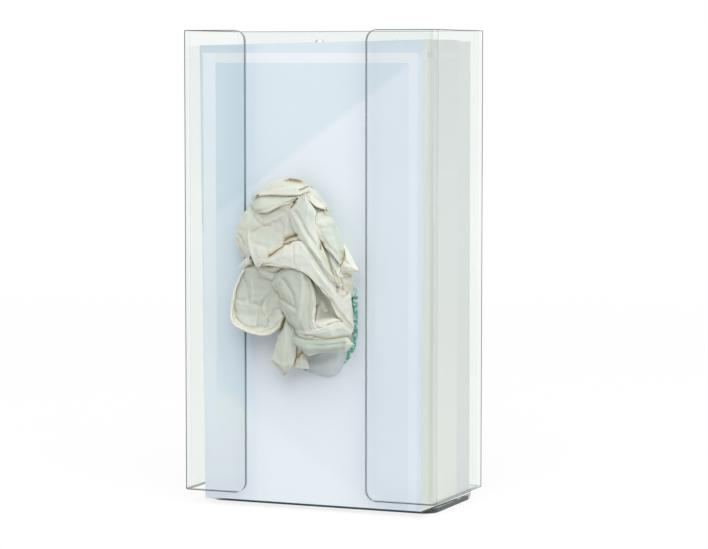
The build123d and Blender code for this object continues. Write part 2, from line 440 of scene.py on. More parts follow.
@dataclass(frozen=True)
class PrintedBoard:
    """Coated folding boxboard with a pale blue print."""

    # Front, from its left edge to its right edge, as the print's inks.
    front: tuple[tuple[float, str], ...] = (
        (-65.0, "E0EAF5"),
        (-38.0, "DAE9F7"),
        (-28.0, "E5EDF4"),
        (22.0, "E5EDF4"),
        (34.0, "E4EBF7"),
        (65.0, "E0E9F7"),
    )
    # Side, from its foot to its top.
    side: tuple[tuple[float, str], ...] = (
        (0.0, "E8EBE7"),
        (90.0, "DDE1DF"),
        (160.0, "D8DEDD"),
        (246.0, "CDD5D6"),
    )
    # The front's left edge, from its foot to its top.
    left_edge: tuple[tuple[float, str], ...] = (
        (0.0, "4FA888"),
        (70.0, "7FC4AC"),
        (150.0, "A9CED6"),
        (246.0, "A5C3CF"),
    )
    # Border stripes, as their limits in mm and their ink.
    left_stripe: tuple[float, float, str] = (-61.7, -54.4, "EAF3FC")
    top_stripe: tuple[float, float, str] = (234.1, 239.3, "EAEFF5")
    right_stripe: tuple[float, float, str] = (55.0, 59.7, "E9EFFA")
    side_band: tuple[float, float, str] = (15.0, 34.0, "D5DBDA")
    # The sky's lower edge and the sweep's upper edge: mm they rise for each mm across, and ink.
    sky_slope: float = 0.722
    sky: str = "F2F7F8"
    sweep_slope: float = -0.62
    sweep: str = "E9F1F6"
    # Painted shade on the rounded front-right corner: on the side next to it, then on the front.
    side_corner_shade: str = "E6E9E6"
    front_corner_shade: str = "DFE4E4"
    # Painted highlight lines: down the top of the side's front corner, and along the side just above the
    # foot.
    painted_highlight: str = "F4F2EA"
    # Painted light: the front's lower left is painted lighter, for light from the floor.
    painted_foot_light: str = "E4EBF6"
    # Painted contact shadow along the foot of the front and of the side, where the carton stands on the
    # shelf.
    front_foot_shadow: str = "24434B"
    side_foot_shadow: str = "35564C"
    floor: float = 2.4
    roughness: float = 0.42
    ior: float = 1.45

    @staticmethod
    def ramp(tree: Tree, value: Socket, stops: tuple[tuple[float, str], ...]) -> Socket:
        """Runs a colour ramp over places in mm.

        Args:
            tree: node tree that takes the nodes.
            value: the place in mm.
            stops: places in mm with their sRGB hex colours.

        Returns:
            The colour.
        """
        first, last = stops[0][0], stops[-1][0]
        share = spread(tree, value, first, last)
        scaled = tuple(((place - first) / (last - first), colour) for place, colour in stops)
        return add(tree, "ShaderNodeValToRGB", {0: share}, stops=scaled).outputs[0]

    def front_print(self, tree: Tree, x: Socket, z: Socket) -> Socket:
        """Prints the front: border stripes, a paler sky above a slanting line and a sweep near the foot, with
        painted shade at the right corner, painted light low at the left and a painted contact shadow along
        the foot.

        Args:
            tree: node tree that takes the nodes.
            x: place across in mm.
            z: place up in mm.

        Returns:
            The colour.
        """
        front = self.ramp(tree, x, self.front)
        slant = maths(tree, "MULTIPLY_ADD", x, -self.sky_slope, z)
        front = laid_over(tree, front, band(tree, slant, 193.6, 400.0, 3.0), self.sky, "MULTIPLY")
        rise = maths(tree, "MULTIPLY_ADD", x, -self.sweep_slope, z)
        front = laid_over(tree, front, band(tree, rise, -60.0, 28.9, 7.0), self.sweep)
        for stripe, along, over, start, end in (
            (self.top_stripe, z, x, -62.0, 60.0),
            (self.right_stripe, x, z, -5.0, 239.3),
            (self.left_stripe, x, z, 34.0, 239.3),
        ):
            low, high, colour = stripe
            mask = both(tree, band(tree, along, low, high), band(tree, over, start, end))
            front = laid_over(tree, front, mask, colour)
        # Painted shade on the rounded front-right corner.
        front = laid_over(tree, front, band(tree, x, 62.6, 72.0, 2.0), self.front_corner_shade)
        # Painted light from the floor, low on the front's left.
        glow = both(tree, band(tree, x, -90.0, -33.0, 4.0), band(tree, z, -60.0, 42.0, 20.0))
        front = laid_over(tree, front, glow, self.painted_foot_light)
        # Painted contact shadow along the front's foot.
        foot = both(tree, band(tree, z, -5.0, self.floor + 0.65, 0.12), band(tree, x, -54.0, 90.0, 6.0))
        front = laid_over(tree, front, foot, self.front_foot_shadow)
        # The front's left edge is teal, more strongly towards the foot.
        left_edge_tint = self.ramp(tree, z, self.left_edge)
        return laid_over(tree, front, band(tree, x, -70.0, -63.35, 0.15), left_edge_tint)

    def side_print(self, tree: Tree, y: Socket, z: Socket) -> Socket:
        """Prints the sides: a band down the back half and one along the top, with painted shade next to the
        front corner, painted highlight lines and a painted contact shadow at the foot.

        Args:
            tree: node tree that takes the nodes.
            y: depth in mm.
            z: place up in mm.

        Returns:
            The colour.
        """
        low, high, colour = self.side_band
        # Painted highlight down the top of the front corner, on the side.
        highlight_strip = both(tree, band(tree, y, -33.0, -29.6), band(tree, z, 185.0, 250.0, 25.0))
        side = self.ramp(tree, z, self.side)
        # Print bands, then painted shade next to the front corner, painted highlight lines and a painted
        # contact shadow at the foot.
        for mask, ink in (
            (band(tree, y, low, high, 0.8), colour),
            (band(tree, y, -34.0, -21.5, 0.8), self.side_corner_shade),
            (band(tree, z, 236.7, 239.7), colour),
            (highlight_strip, self.painted_highlight),
            (band(tree, z, self.floor + 0.9, self.floor + 1.9, 0.2), self.painted_highlight),
            (band(tree, z, -5.0, self.floor + 0.8, 0.15), self.side_foot_shadow),
        ):
            side = laid_over(tree, side, mask, ink)
        return side

    def build(self) -> bpy.types.Material:
        """Builds the board: a blue front, greyer sides and pale border stripes, with painted shade at the
        front-right corner, painted highlight lines, painted light low on the front and a painted contact
        shadow at the foot.

        Returns:
            The material.
        """
        material, tree = new_material("boxboard_coated")
        in_mm, x, y, z = place_in_mm(tree)
        normal = add(tree, "ShaderNodeNewGeometry").outputs["True Normal"]
        sideways = maths(tree, "ABSOLUTE", add(tree, "ShaderNodeSeparateXYZ", {0: normal}).outputs["X"])
        is_side = maths(tree, "GREATER_THAN", sideways, 0.5)
        colour = laid_over(tree, self.front_print(tree, x, z), is_side, self.side_print(tree, y, z))
        # Paper fibres, about half a millimetre, under a coat that flows in waves 20 mm long.
        fibres = relief(tree, pattern(tree, in_mm, 2.0, 3.0), 0.00003, 0.5)
        bumpy = relief(tree, pattern(tree, in_mm, 0.05, 2.0), 0.0012, 0.4, fibres)
        coat = {"Base Color": colour, "Roughness": self.roughness, "IOR": self.ior, "Normal": bumpy}
        board = add(tree, "ShaderNodeBsdfPrincipled", coat).outputs[0]
        add(tree, "ShaderNodeOutputMaterial", {"Surface": board})
        return material


@dataclass(frozen=True)
class Latex:
    """Natural rubber latex film, dipped and lightly powdered."""

    name: str = "latex_film"
    cream: str = "EBE9D7"
    shaded: str = "DCE4D4"
    # Creamier colour of turned edges, also laid on ridges as a painted highlight.
    rim: str = "F3EFDA"
    # Painted shade: the greyer colour of a single layer, for the dark behind it.
    sheer: str = "A3B2AA"
    # Painted shade in folds and creases: tan, and brown where deepest.
    fold: str = "C9B98F"
    deep: str = "77603F"
    roughness: float = 0.42
    ior: float = 1.52
    # Cloudy patches to the metre, so they are about 22 mm wide.
    clouds_per_metre: float = 45.0
    grain_mm: float = 0.6
    crease_mm: float = 3.5
    # Light soaks in and spreads, red farthest, which softens the folds' shading.
    soaked: float = 0.5
    soak_colours: Point = (1.0, 0.85, 0.6)
    soak_reach: float = 0.0015

    def build(self) -> bpy.types.Material:
        """Builds the film: cream, with painted shade in tan and brown deep in the folds for light that passes
        through it many times, painted greyer shade on single layers and painted highlights on ridges.

        Returns:
            The material.
        """
        material, tree = new_material(self.name)
        place = add(tree, "ShaderNodeTexCoord").outputs["Object"]
        sheer, rim, shut_in, pressed = (
            add(tree, "ShaderNodeAttribute", attribute_name=name).outputs["Fac"]
            for name in ("sheer", "rim", "shut_in", "warmth")
        )
        tone = spread(tree, pattern(tree, place, self.clouds_per_metre, 4.0), 0.35, 0.65)
        film = laid_over(tree, self.cream, tone, self.shaded)
        # Painted shade: a single layer is painted greyer than film folded double, for the dark behind it that
        # shows through.
        film = laid_over(tree, film, sheer, self.sheer)
        # Film is thicker to look through where it turns over, so its edges are creamier; ridges get the same
        # creamier colour as a painted highlight.
        film = laid_over(tree, film, rim, self.rim)
        # Painted shade: where the film around shuts a place in, and along the creases, the film is painted
        # tan and then brown, for light that has passed through film many times deep in a fold.
        fold_shade = maths(tree, "MAXIMUM", spread(tree, shut_in, 0.45, 0.85, smooth=True), pressed)
        brown = maths(tree, "MAXIMUM", spread(tree, shut_in, 0.78, 1.0), spread(tree, pressed, 0.5, 0.95))
        film = laid_over(tree, film, fold_shade, self.fold)
        film = laid_over(tree, film, brown, self.deep)
        # Powder and the former's texture: a fine grain, over soft creases a few millimetres apart.
        grain = pattern(tree, place, 1.0 / (self.grain_mm * MM), 2.0)
        ridges = {"distortion": 1.2, "noise_type": "RIDGED_MULTIFRACTAL"}
        creases = pattern(tree, place, 1.0 / (self.crease_mm * MM), 3.0, **ridges)
        bumpy = relief(tree, creases, 0.00022, 0.5, relief(tree, grain, 0.00006, 0.6))
        look = {
            "Base Color": film,
            "Roughness": self.roughness,
            "IOR": self.ior,
            "Normal": bumpy,
            "Subsurface Weight": self.soaked,
            "Subsurface Radius": self.soak_colours,
            "Subsurface Scale": self.soak_reach,
        }
        body = add(tree, "ShaderNodeBsdfPrincipled", look).outputs[0]
        add(tree, "ShaderNodeOutputMaterial", {"Surface": body})
        return material


@dataclass(frozen=True)
class TornBoard:
    """Boxboard torn along a perforation: pale fibres with scraps of teal print."""

    fibre: str = "E4E9E6"
    plain: str = "DCE5EB"
    ink: str = "66B3A4"
    ink_pale: str = "A9D6CC"
    ink_deep: str = "3F9182"
    scrap_mm: float = 1.6
    roughness: float = 0.85

    def build(self) -> bpy.types.Material:
        """Builds the torn edge.

        Returns:
            The material.
        """
        material, tree = new_material("boxboard_torn")
        place = add(tree, "ShaderNodeTexCoord").outputs["Object"]
        scraps = pattern(tree, place, 1.0 / (self.scrap_mm * MM), 2.0)
        inks = ((0.0, self.ink_deep), (0.47, self.ink), (0.55, self.ink_pale), (0.62, self.fibre))
        inked = add(tree, "ShaderNodeValToRGB", {0: scraps}, stops=inks).outputs[0]
        # Ink from the print beside it shows only down the right side.
        _, x, _, z = place_in_mm(tree)
        inky = both(tree, band(tree, x, 15.0, 60.0, 2.0), band(tree, z, 60.0, 117.0, 3.0))
        colour = laid_over(tree, self.plain, inky, inked)
        rough = relief(tree, scraps, 0.0003, 1.0)
        look = {"Base Color": colour, "Roughness": self.roughness, "Normal": rough}
        board = add(tree, "ShaderNodeBsdfPrincipled", look).outputs[0]
        add(tree, "ShaderNodeOutputMaterial", {"Surface": board})
        return material


# --- Latex film ---------------------------------------------------------------------------------


class Edge(Enum):
    """How one edge of a fold of film ends."""

    FOLD = "F"
    BEAD = "B"
    TUCK = "T"
    OPEN = "O"


@dataclass(frozen=True)
class Fold:
    """One fold of film, as a net of points.

    The points were placed by hand and then written in mm by a separate script, which also eased the depths
    of some folds towards a plane. The net's rows run down and its columns run right, as the dispenser's
    front is seen. A point is (mm across, mm in front of the flanges, mm up). The edges are given top,
    right, bottom, left. The radius is that of a turned edge and the wrinkle is the depth of one, both in
    mm. The sheer share, from 0 to 1, is how far dark shows through, as painted shade that greys the fold.
    """

    name: str
    edges: str
    radius: float
    wrinkle: float
    # Painted shade: how far the fold is painted greyer, for the dark behind a single layer.
    sheer: float
    net: tuple[tuple[Point, ...], ...]


@dataclass(frozen=True)
class Crease:
    """One crease pressed into the film, or a ridge that stands out of it.

    The width and depth are in mm, and a negative depth is a ridge. Its painted shading paints tan and brown
    shade into the crease, and where it is negative it paints a creamier highlight onto the ridge. The points
    are (mm across, mm up), placed and written in mm as the folds' points were.
    """

    name: str
    width: float
    depth: float
    # Painted shading: above 0 paints tan and brown shade into the crease, below 0 a creamier highlight onto
    # the ridge.
    warmth: float
    points: tuple[tuple[float, float], ...]


DRAWN_GLOVE_CREASES: tuple[Crease, ...] = (
    Crease("wedge_under_crown", 2.4, 1.2, 0.95, ((-8.2, 174.0), (-3.7, 173.5), (3.7, 172.6))),
    Crease("pinch_at_top", 1.5, 0.8, 1, ((2.6, 169.2), (4.5, 169.8), (5.6, 170.7))),
    Crease("pinch_tail", 0.7, 0.5, 0.6, ((-0.4, 169.1), (0.6, 169.5))),
    Crease("flap_underside", 0.9, 0.3, 0.6, (
        (-20.2, 156.7), (-15.7, 157.0), (-9.0, 160.3), (-2.1, 163.5), (1.2, 164.6),
    )),
    Crease("flap_end", 1.6, 0.35, 1, ((-1.7, 159.9), (0.0, 161.5), (1.5, 162.8))),
    Crease("centre_top", 0.8, 0.5, 0.5, ((1.6, 164.7), (4.5, 166.3), (6.9, 167.0))),
    Crease("upper_gap", 2.8, 1.2, 1, ((-5.8, 143.0), (-2.5, 144.6), (2.4, 146.0))),
    Crease("lower_gap", 1.8, 0.9, 1, ((-6.3, 140.8), (-3.6, 141.4), (-1.4, 141.7))),
    Crease("gap_run", 2.4, 1.1, 1, ((-5.8, 139.9), (-8.7, 138.0), (-11.6, 135.9), (-14.1, 134.6))),
    Crease("gap_end", 1.3, 0.6, 0.5, ((-14.1, 134.6), (-15.3, 133.4), (-16.3, 132.5))),
    Crease("gap_light", 1, -0.6, -0.8, ((-6.2, 141.7), (-2.2, 142.9), (2.9, 144.1))),
    Crease("loop_rim", 1, 0.4, 0.7, (
        (-16.6, 130.5), (-16.8, 128.2), (-13.0, 126.8), (-9.1, 127.2), (-3.6, 129.5), (0.1, 129.1),
    )),
    Crease("loop_top", 0.7, 0.3, 0.6, ((-16.6, 130.6), (-12.2, 131.1), (-7.1, 130.7))),
    Crease("lobe_shoulder", 0.9, 0.6, 0.6, (
        (-13.7, 119.3), (-12.4, 122.4), (-8.1, 125.4), (-4.7, 127.6),
    )),
    Crease("lobe_notch", 1.6, 1, 0.85, ((-13.8, 118.9), (-12.8, 116.9), (-9.4, 115.2), (-9.2, 113.1))),
    Crease("lobe_side", 0.9, 0.6, 0.5, ((-11.4, 110.5), (-10.1, 106.4), (-8.0, 103.0))),
    Crease("lobe_foot", 0.9, 0.7, 0.6, ((-8.0, 102.7), (-5.2, 99.6), (-0.7, 96.7), (-0.1, 93.6))),
    Crease("cuff_corner", 1.8, 1, 0.9, ((-8.1, 101.4), (-9.4, 97.6), (-11.5, 95.2))),
    Crease("side_dent", 1.1, 0.6, 0.75, ((-37.5, 144.7), (-35.1, 142.7), (-32.7, 139.5))),
    Crease("side_dent_low", 1, 0.5, 0.6, ((-38.6, 142.5), (-36.6, 138.1), (-34.7, 133.7))),
    Crease("crest_line", 0.8, 0.6, 0.6, ((7.7, 166.5), (9.6, 163.5), (12.5, 160.6), (15.9, 158.8))),
    Crease("crest_tip", 1, 0.5, 0.8, ((15.1, 161.7), (17.1, 160.0), (17.0, 158.0))),
    Crease("crest_specks", 0.6, 0.4, 0.7, ((14.3, 158.7), (16.2, 159.1))),
    Crease("panel_rim_light", 1, -0.5, -0.8, (
        (15.4, 158.2), (12.5, 156.7), (12.3, 152.8), (13.3, 148.5), (14.9, 144.1),
    )),
    Crease("panel_notch", 1.5, 1, 0.95, ((16.0, 142.3), (16.0, 140.6), (16.2, 139.0))),
    Crease("panel_side", 0.8, 0.6, 0.55, ((13.3, 148.8), (14.7, 144.8), (15.4, 142.1))),
    Crease("centre_side", 0.8, 0.5, 0.4, ((15.9, 139.0), (18.7, 133.6), (22.1, 127.8), (24.1, 123.4))),
    Crease("centre_low", 0.8, 0.5, 0.5, ((19.6, 128.1), (23.8, 122.7), (24.7, 118.0))),
    Crease("channel", 1.2, 0.8, 0.35, ((17.2, 137.9), (19.6, 131.4), (23.5, 124.2))),
    Crease("tip_side", 1.1, 0.8, 0.7, ((24.9, 138.0), (25.4, 135.8), (25.2, 133.5))),
    Crease("tip_foot", 0.7, 0.5, 0.7, ((24.8, 127.1), (28.7, 127.5), (33.8, 127.8))),
    Crease("curl", 0.8, 0.6, 0.8, (
        (24.9, 125.9), (25.8, 126.2), (26.1, 125.3), (26.0, 124.2), (25.0, 124.4),
    )),
    Crease("curl_run", 0.8, 0.6, 0.5, ((24.8, 123.3), (25.6, 119.9), (26.2, 117.0))),
    Crease("curl_end", 1.2, 0.8, 0.75, ((27.1, 117.1), (27.6, 116.1), (26.1, 114.5))),
    Crease("arch_edge", 0.8, 0.5, 0.45, (
        (-3.6, 129.5), (5.4, 128.5), (10.0, 123.2), (17.9, 117.7), (21.5, 111.7),
    )),
    Crease("arch_foot", 0.8, 0.5, 0.5, ((14.5, 112.5), (19.1, 107.4), (23.4, 102.9))),
    Crease("pocket_shade", 3.2, 1, 0.3, ((16.5, 108.0), (14.2, 105.0), (13.2, 103.0))),
    Crease("pocket_rim_light", 0.8, -0.4, -1, (
        (12.6, 111.0), (10.7, 106.4), (10.6, 102.3), (12.6, 98.2),
    )),
    Crease("sill_light", 0.9, -0.4, -0.8, ((11.1, 101.5), (16.4, 103.1), (23.1, 103.8))),
    Crease("sill_shade", 0.9, 0.7, 0.75, ((18.0, 99.9), (20.8, 101.1), (23.8, 102.0))),
    Crease("strip_light", 0.9, -0.4, -0.7, ((0.3, 96.1), (7.5, 96.0), (13.9, 97.4), (23.4, 101.3))),
    Crease("strip_underside", 1.3, 0.8, 0.75, (
        (5.9, 94.3), (11.5, 93.9), (17.3, 92.7), (23.1, 92.9), (26.7, 93.8),
    )),
    Crease("finger_gap", 2.4, 1.2, 0.95, ((-1.0, 81.7), (0.3, 83.6), (3.6, 85.7))),
    Crease("finger_low", 0.8, 0.6, 0.5, ((1.7, 87.7), (3.6, 85.7), (4.2, 81.8), (4.4, 76.8))),
    Crease("next_edge", 0.8, 0.5, 0.4, ((4.6, 81.8), (13.4, 85.3), (19.5, 86.4), (25.9, 85.7))),
    Crease("finger_nail", 0.7, 0.4, 0.4, ((27.7, 93.6), (29.4, 89.8), (26.5, 86.1))),
    Crease("hang_side", 0.8, 0.5, 0.55, ((-1.7, 94.5), (0.5, 90.1), (-1.9, 83.6), (-3.3, 78.1))),
    Crease("hang_end", 0.8, 0.5, 0.6, (
        (-15.8, 79.2), (-11.7, 76.8), (-8.5, 72.5), (-6.1, 74.3), (-3.6, 77.4),
    )),
    Crease("hang_left", 0.8, 0.5, 0.35, ((-8.8, 99.0), (-11.7, 92.9), (-15.7, 81.4))),
    Crease("hang_fold", 1.6, 0.6, 0.12, ((-5.5, 97.8), (-4.9, 88.9), (-7.1, 78.9))),
    Crease("panel_swag", 1.4, 0.6, 0.3, (
        (-27.2, 155.4), (-22.5, 151.6), (-19.0, 149.6), (-15.2, 150.3),
    )),
    Crease("panel_swag_light", 1.4, -0.5, -0.5, (
        (-18.6, 150.8), (-15.6, 151.7), (-12.0, 153.4), (-6.7, 156.2),
    )),
    Crease("panel_ray", 1.3, 0.6, 0.2, ((-27.0, 146.2), (-19.9, 149.5), (-11.2, 152.7))),
    Crease("panel_dip", 2.2, 0.7, 0.12, ((-24.7, 140.8), (-17.4, 138.8), (-8.1, 140.7))),
    Crease("panel_left_light", 1.2, -0.5, -0.6, (
        (-30.6, 156.3), (-30.2, 149.7), (-28.4, 142.5), (-24.6, 133.8), (-21.7, 128.6),
    )),
    Crease("panel_gather", 1.2, 0.5, 0.3, ((-21.9, 155.7), (-19.9, 153.6), (-19.0, 150.2))),
    Crease("flap_crease", 1, 0.5, 0.2, ((-20.9, 157.7), (-14.4, 159.4), (-6.4, 162.5))),
    Crease("flap_light", 1, -0.3, -0.9, ((-25.8, 165.5), (-20.3, 166.8), (-8.7, 167.0), (5.3, 167.3))),
    Crease("band_light", 2, -0.6, -0.5, ((-3.9, 158.2), (-5.2, 150.7), (-5.7, 144.8))),
    Crease("centre_crease", 1.4, 0.7, 0.15, ((2.3, 157.7), (9.0, 147.7), (14.1, 141.2))),
    Crease("centre_ridge", 1.6, -0.6, -0.3, (
        (-1.2, 158.3), (3.8, 151.2), (10.9, 141.1), (17.4, 134.0),
    )),
    Crease("arch_crease", 1, 0.5, 0.15, ((0.8, 140.8), (1.9, 136.5), (2.2, 130.6))),
    Crease("arch_ridge", 1.6, -0.5, -0.3, ((5.7, 141.0), (13.7, 132.3), (21.4, 123.7), (25.8, 116.1))),
    Crease("under_swag", 1.6, 0.8, 0.3, ((-22.3, 127.0), (-19.7, 123.4), (-12.6, 122.3))),
    Crease("under_fold", 1, 0.6, 0.3, ((-20.4, 130.3), (-23.3, 126.2), (-23.4, 122.2))),
    Crease("cuff_ray_a", 1.5, 0.8, 0.25, ((-15.7, 115.9), (-18.2, 109.7), (-20.1, 102.0))),
    Crease("cuff_ray_b", 1.8, 0.8, 0.2, ((-17.5, 114.2), (-24.3, 107.4), (-28.6, 108.7))),
    Crease("cuff_ray_c", 1.6, 0.7, 0.15, ((-21.2, 111.0), (-25.2, 105.5), (-25.8, 98.0))),
    Crease("cuff_ray_d", 1.6, -0.6, -0.4, ((-22.1, 111.7), (-20.9, 105.0), (-18.0, 99.2))),
    Crease("cuff_ray_e", 1.4, 0.6, 0.12, ((-34.6, 124.0), (-32.1, 117.2), (-31.0, 108.9))),
    Crease("cuff_ray_f", 1.4, -0.5, -0.4, ((-29.2, 121.1), (-28.4, 115.9), (-28.9, 109.0))),
    Crease("cuff_rim_shade", 0.8, 0.5, 0.25, (
        (-38.4, 105.9), (-36.9, 100.8), (-31.6, 96.6), (-22.6, 94.4), (-14.3, 96.6), (-9.4, 101.0),
    )),
    Crease("lobe_crease_a", 1.6, 0.9, 0.2, ((-9.9, 112.7), (-4.6, 110.8), (1.2, 108.8))),
    Crease("lobe_crease_b", 2, 0.9, 0.12, ((-5.5, 122.8), (0.4, 115.6), (1.9, 107.5))),
    Crease("lobe_ridge", 2, -0.8, -0.3, ((6.0, 127.4), (6.3, 117.3), (5.2, 108.4), (2.3, 99.2))),
    Crease("lobe_crease_c", 1.8, 0.9, 0.2, ((8.3, 124.0), (9.7, 115.9), (8.4, 106.2), (8.4, 98.0))),
    Crease("lobe_light", 1.2, -0.6, -0.6, ((9.7, 123.2), (12.0, 111.7), (10.6, 102.0))),
    Crease("strip_crease", 1.2, 0.7, 0.25, ((20.6, 113.6), (23.3, 107.2), (25.3, 101.9), (27.6, 97.5))),
    Crease("strip_ridge", 1.2, -0.5, -0.5, ((22.8, 114.0), (25.3, 107.0), (28.0, 99.8))),
    Crease("right_crease_a", 1.2, 0.6, 0.25, ((14.1, 149.8), (17.4, 150.1), (19.4, 150.9))),
    Crease("right_crease_b", 1.6, 0.7, 0.2, ((16.0, 145.5), (19.4, 140.4), (25.2, 135.3))),
    Crease("right_light", 1.4, -0.5, -0.5, ((13.6, 152.7), (18.4, 154.7), (19.8, 152.3))),
    Crease("right_curl_light", 1, -0.5, -1, (
        (26.6, 133.0), (24.3, 129.8), (23.9, 125.6), (25.7, 121.5), (25.9, 118.2),
    )),
    Crease("crown_crease", 1.2, 0.6, 0.2, ((-20.2, 168.0), (-11.6, 170.5), (-1.9, 171.4))),
    Crease("crown_crease_b", 1, 0.5, 0.25, ((5.8, 170.8), (9.8, 166.8), (13.6, 162.5))),
    Crease("low_finger_crease", 1.4, 0.6, 0.12, ((7.5, 89.7), (15.4, 89.2), (25.6, 91.0))),
    Crease("lobe_left_dent", 1.2, 0.6, 0.3, ((-10.7, 118.7), (-6.2, 115.2), (-3.6, 110.9))),
)

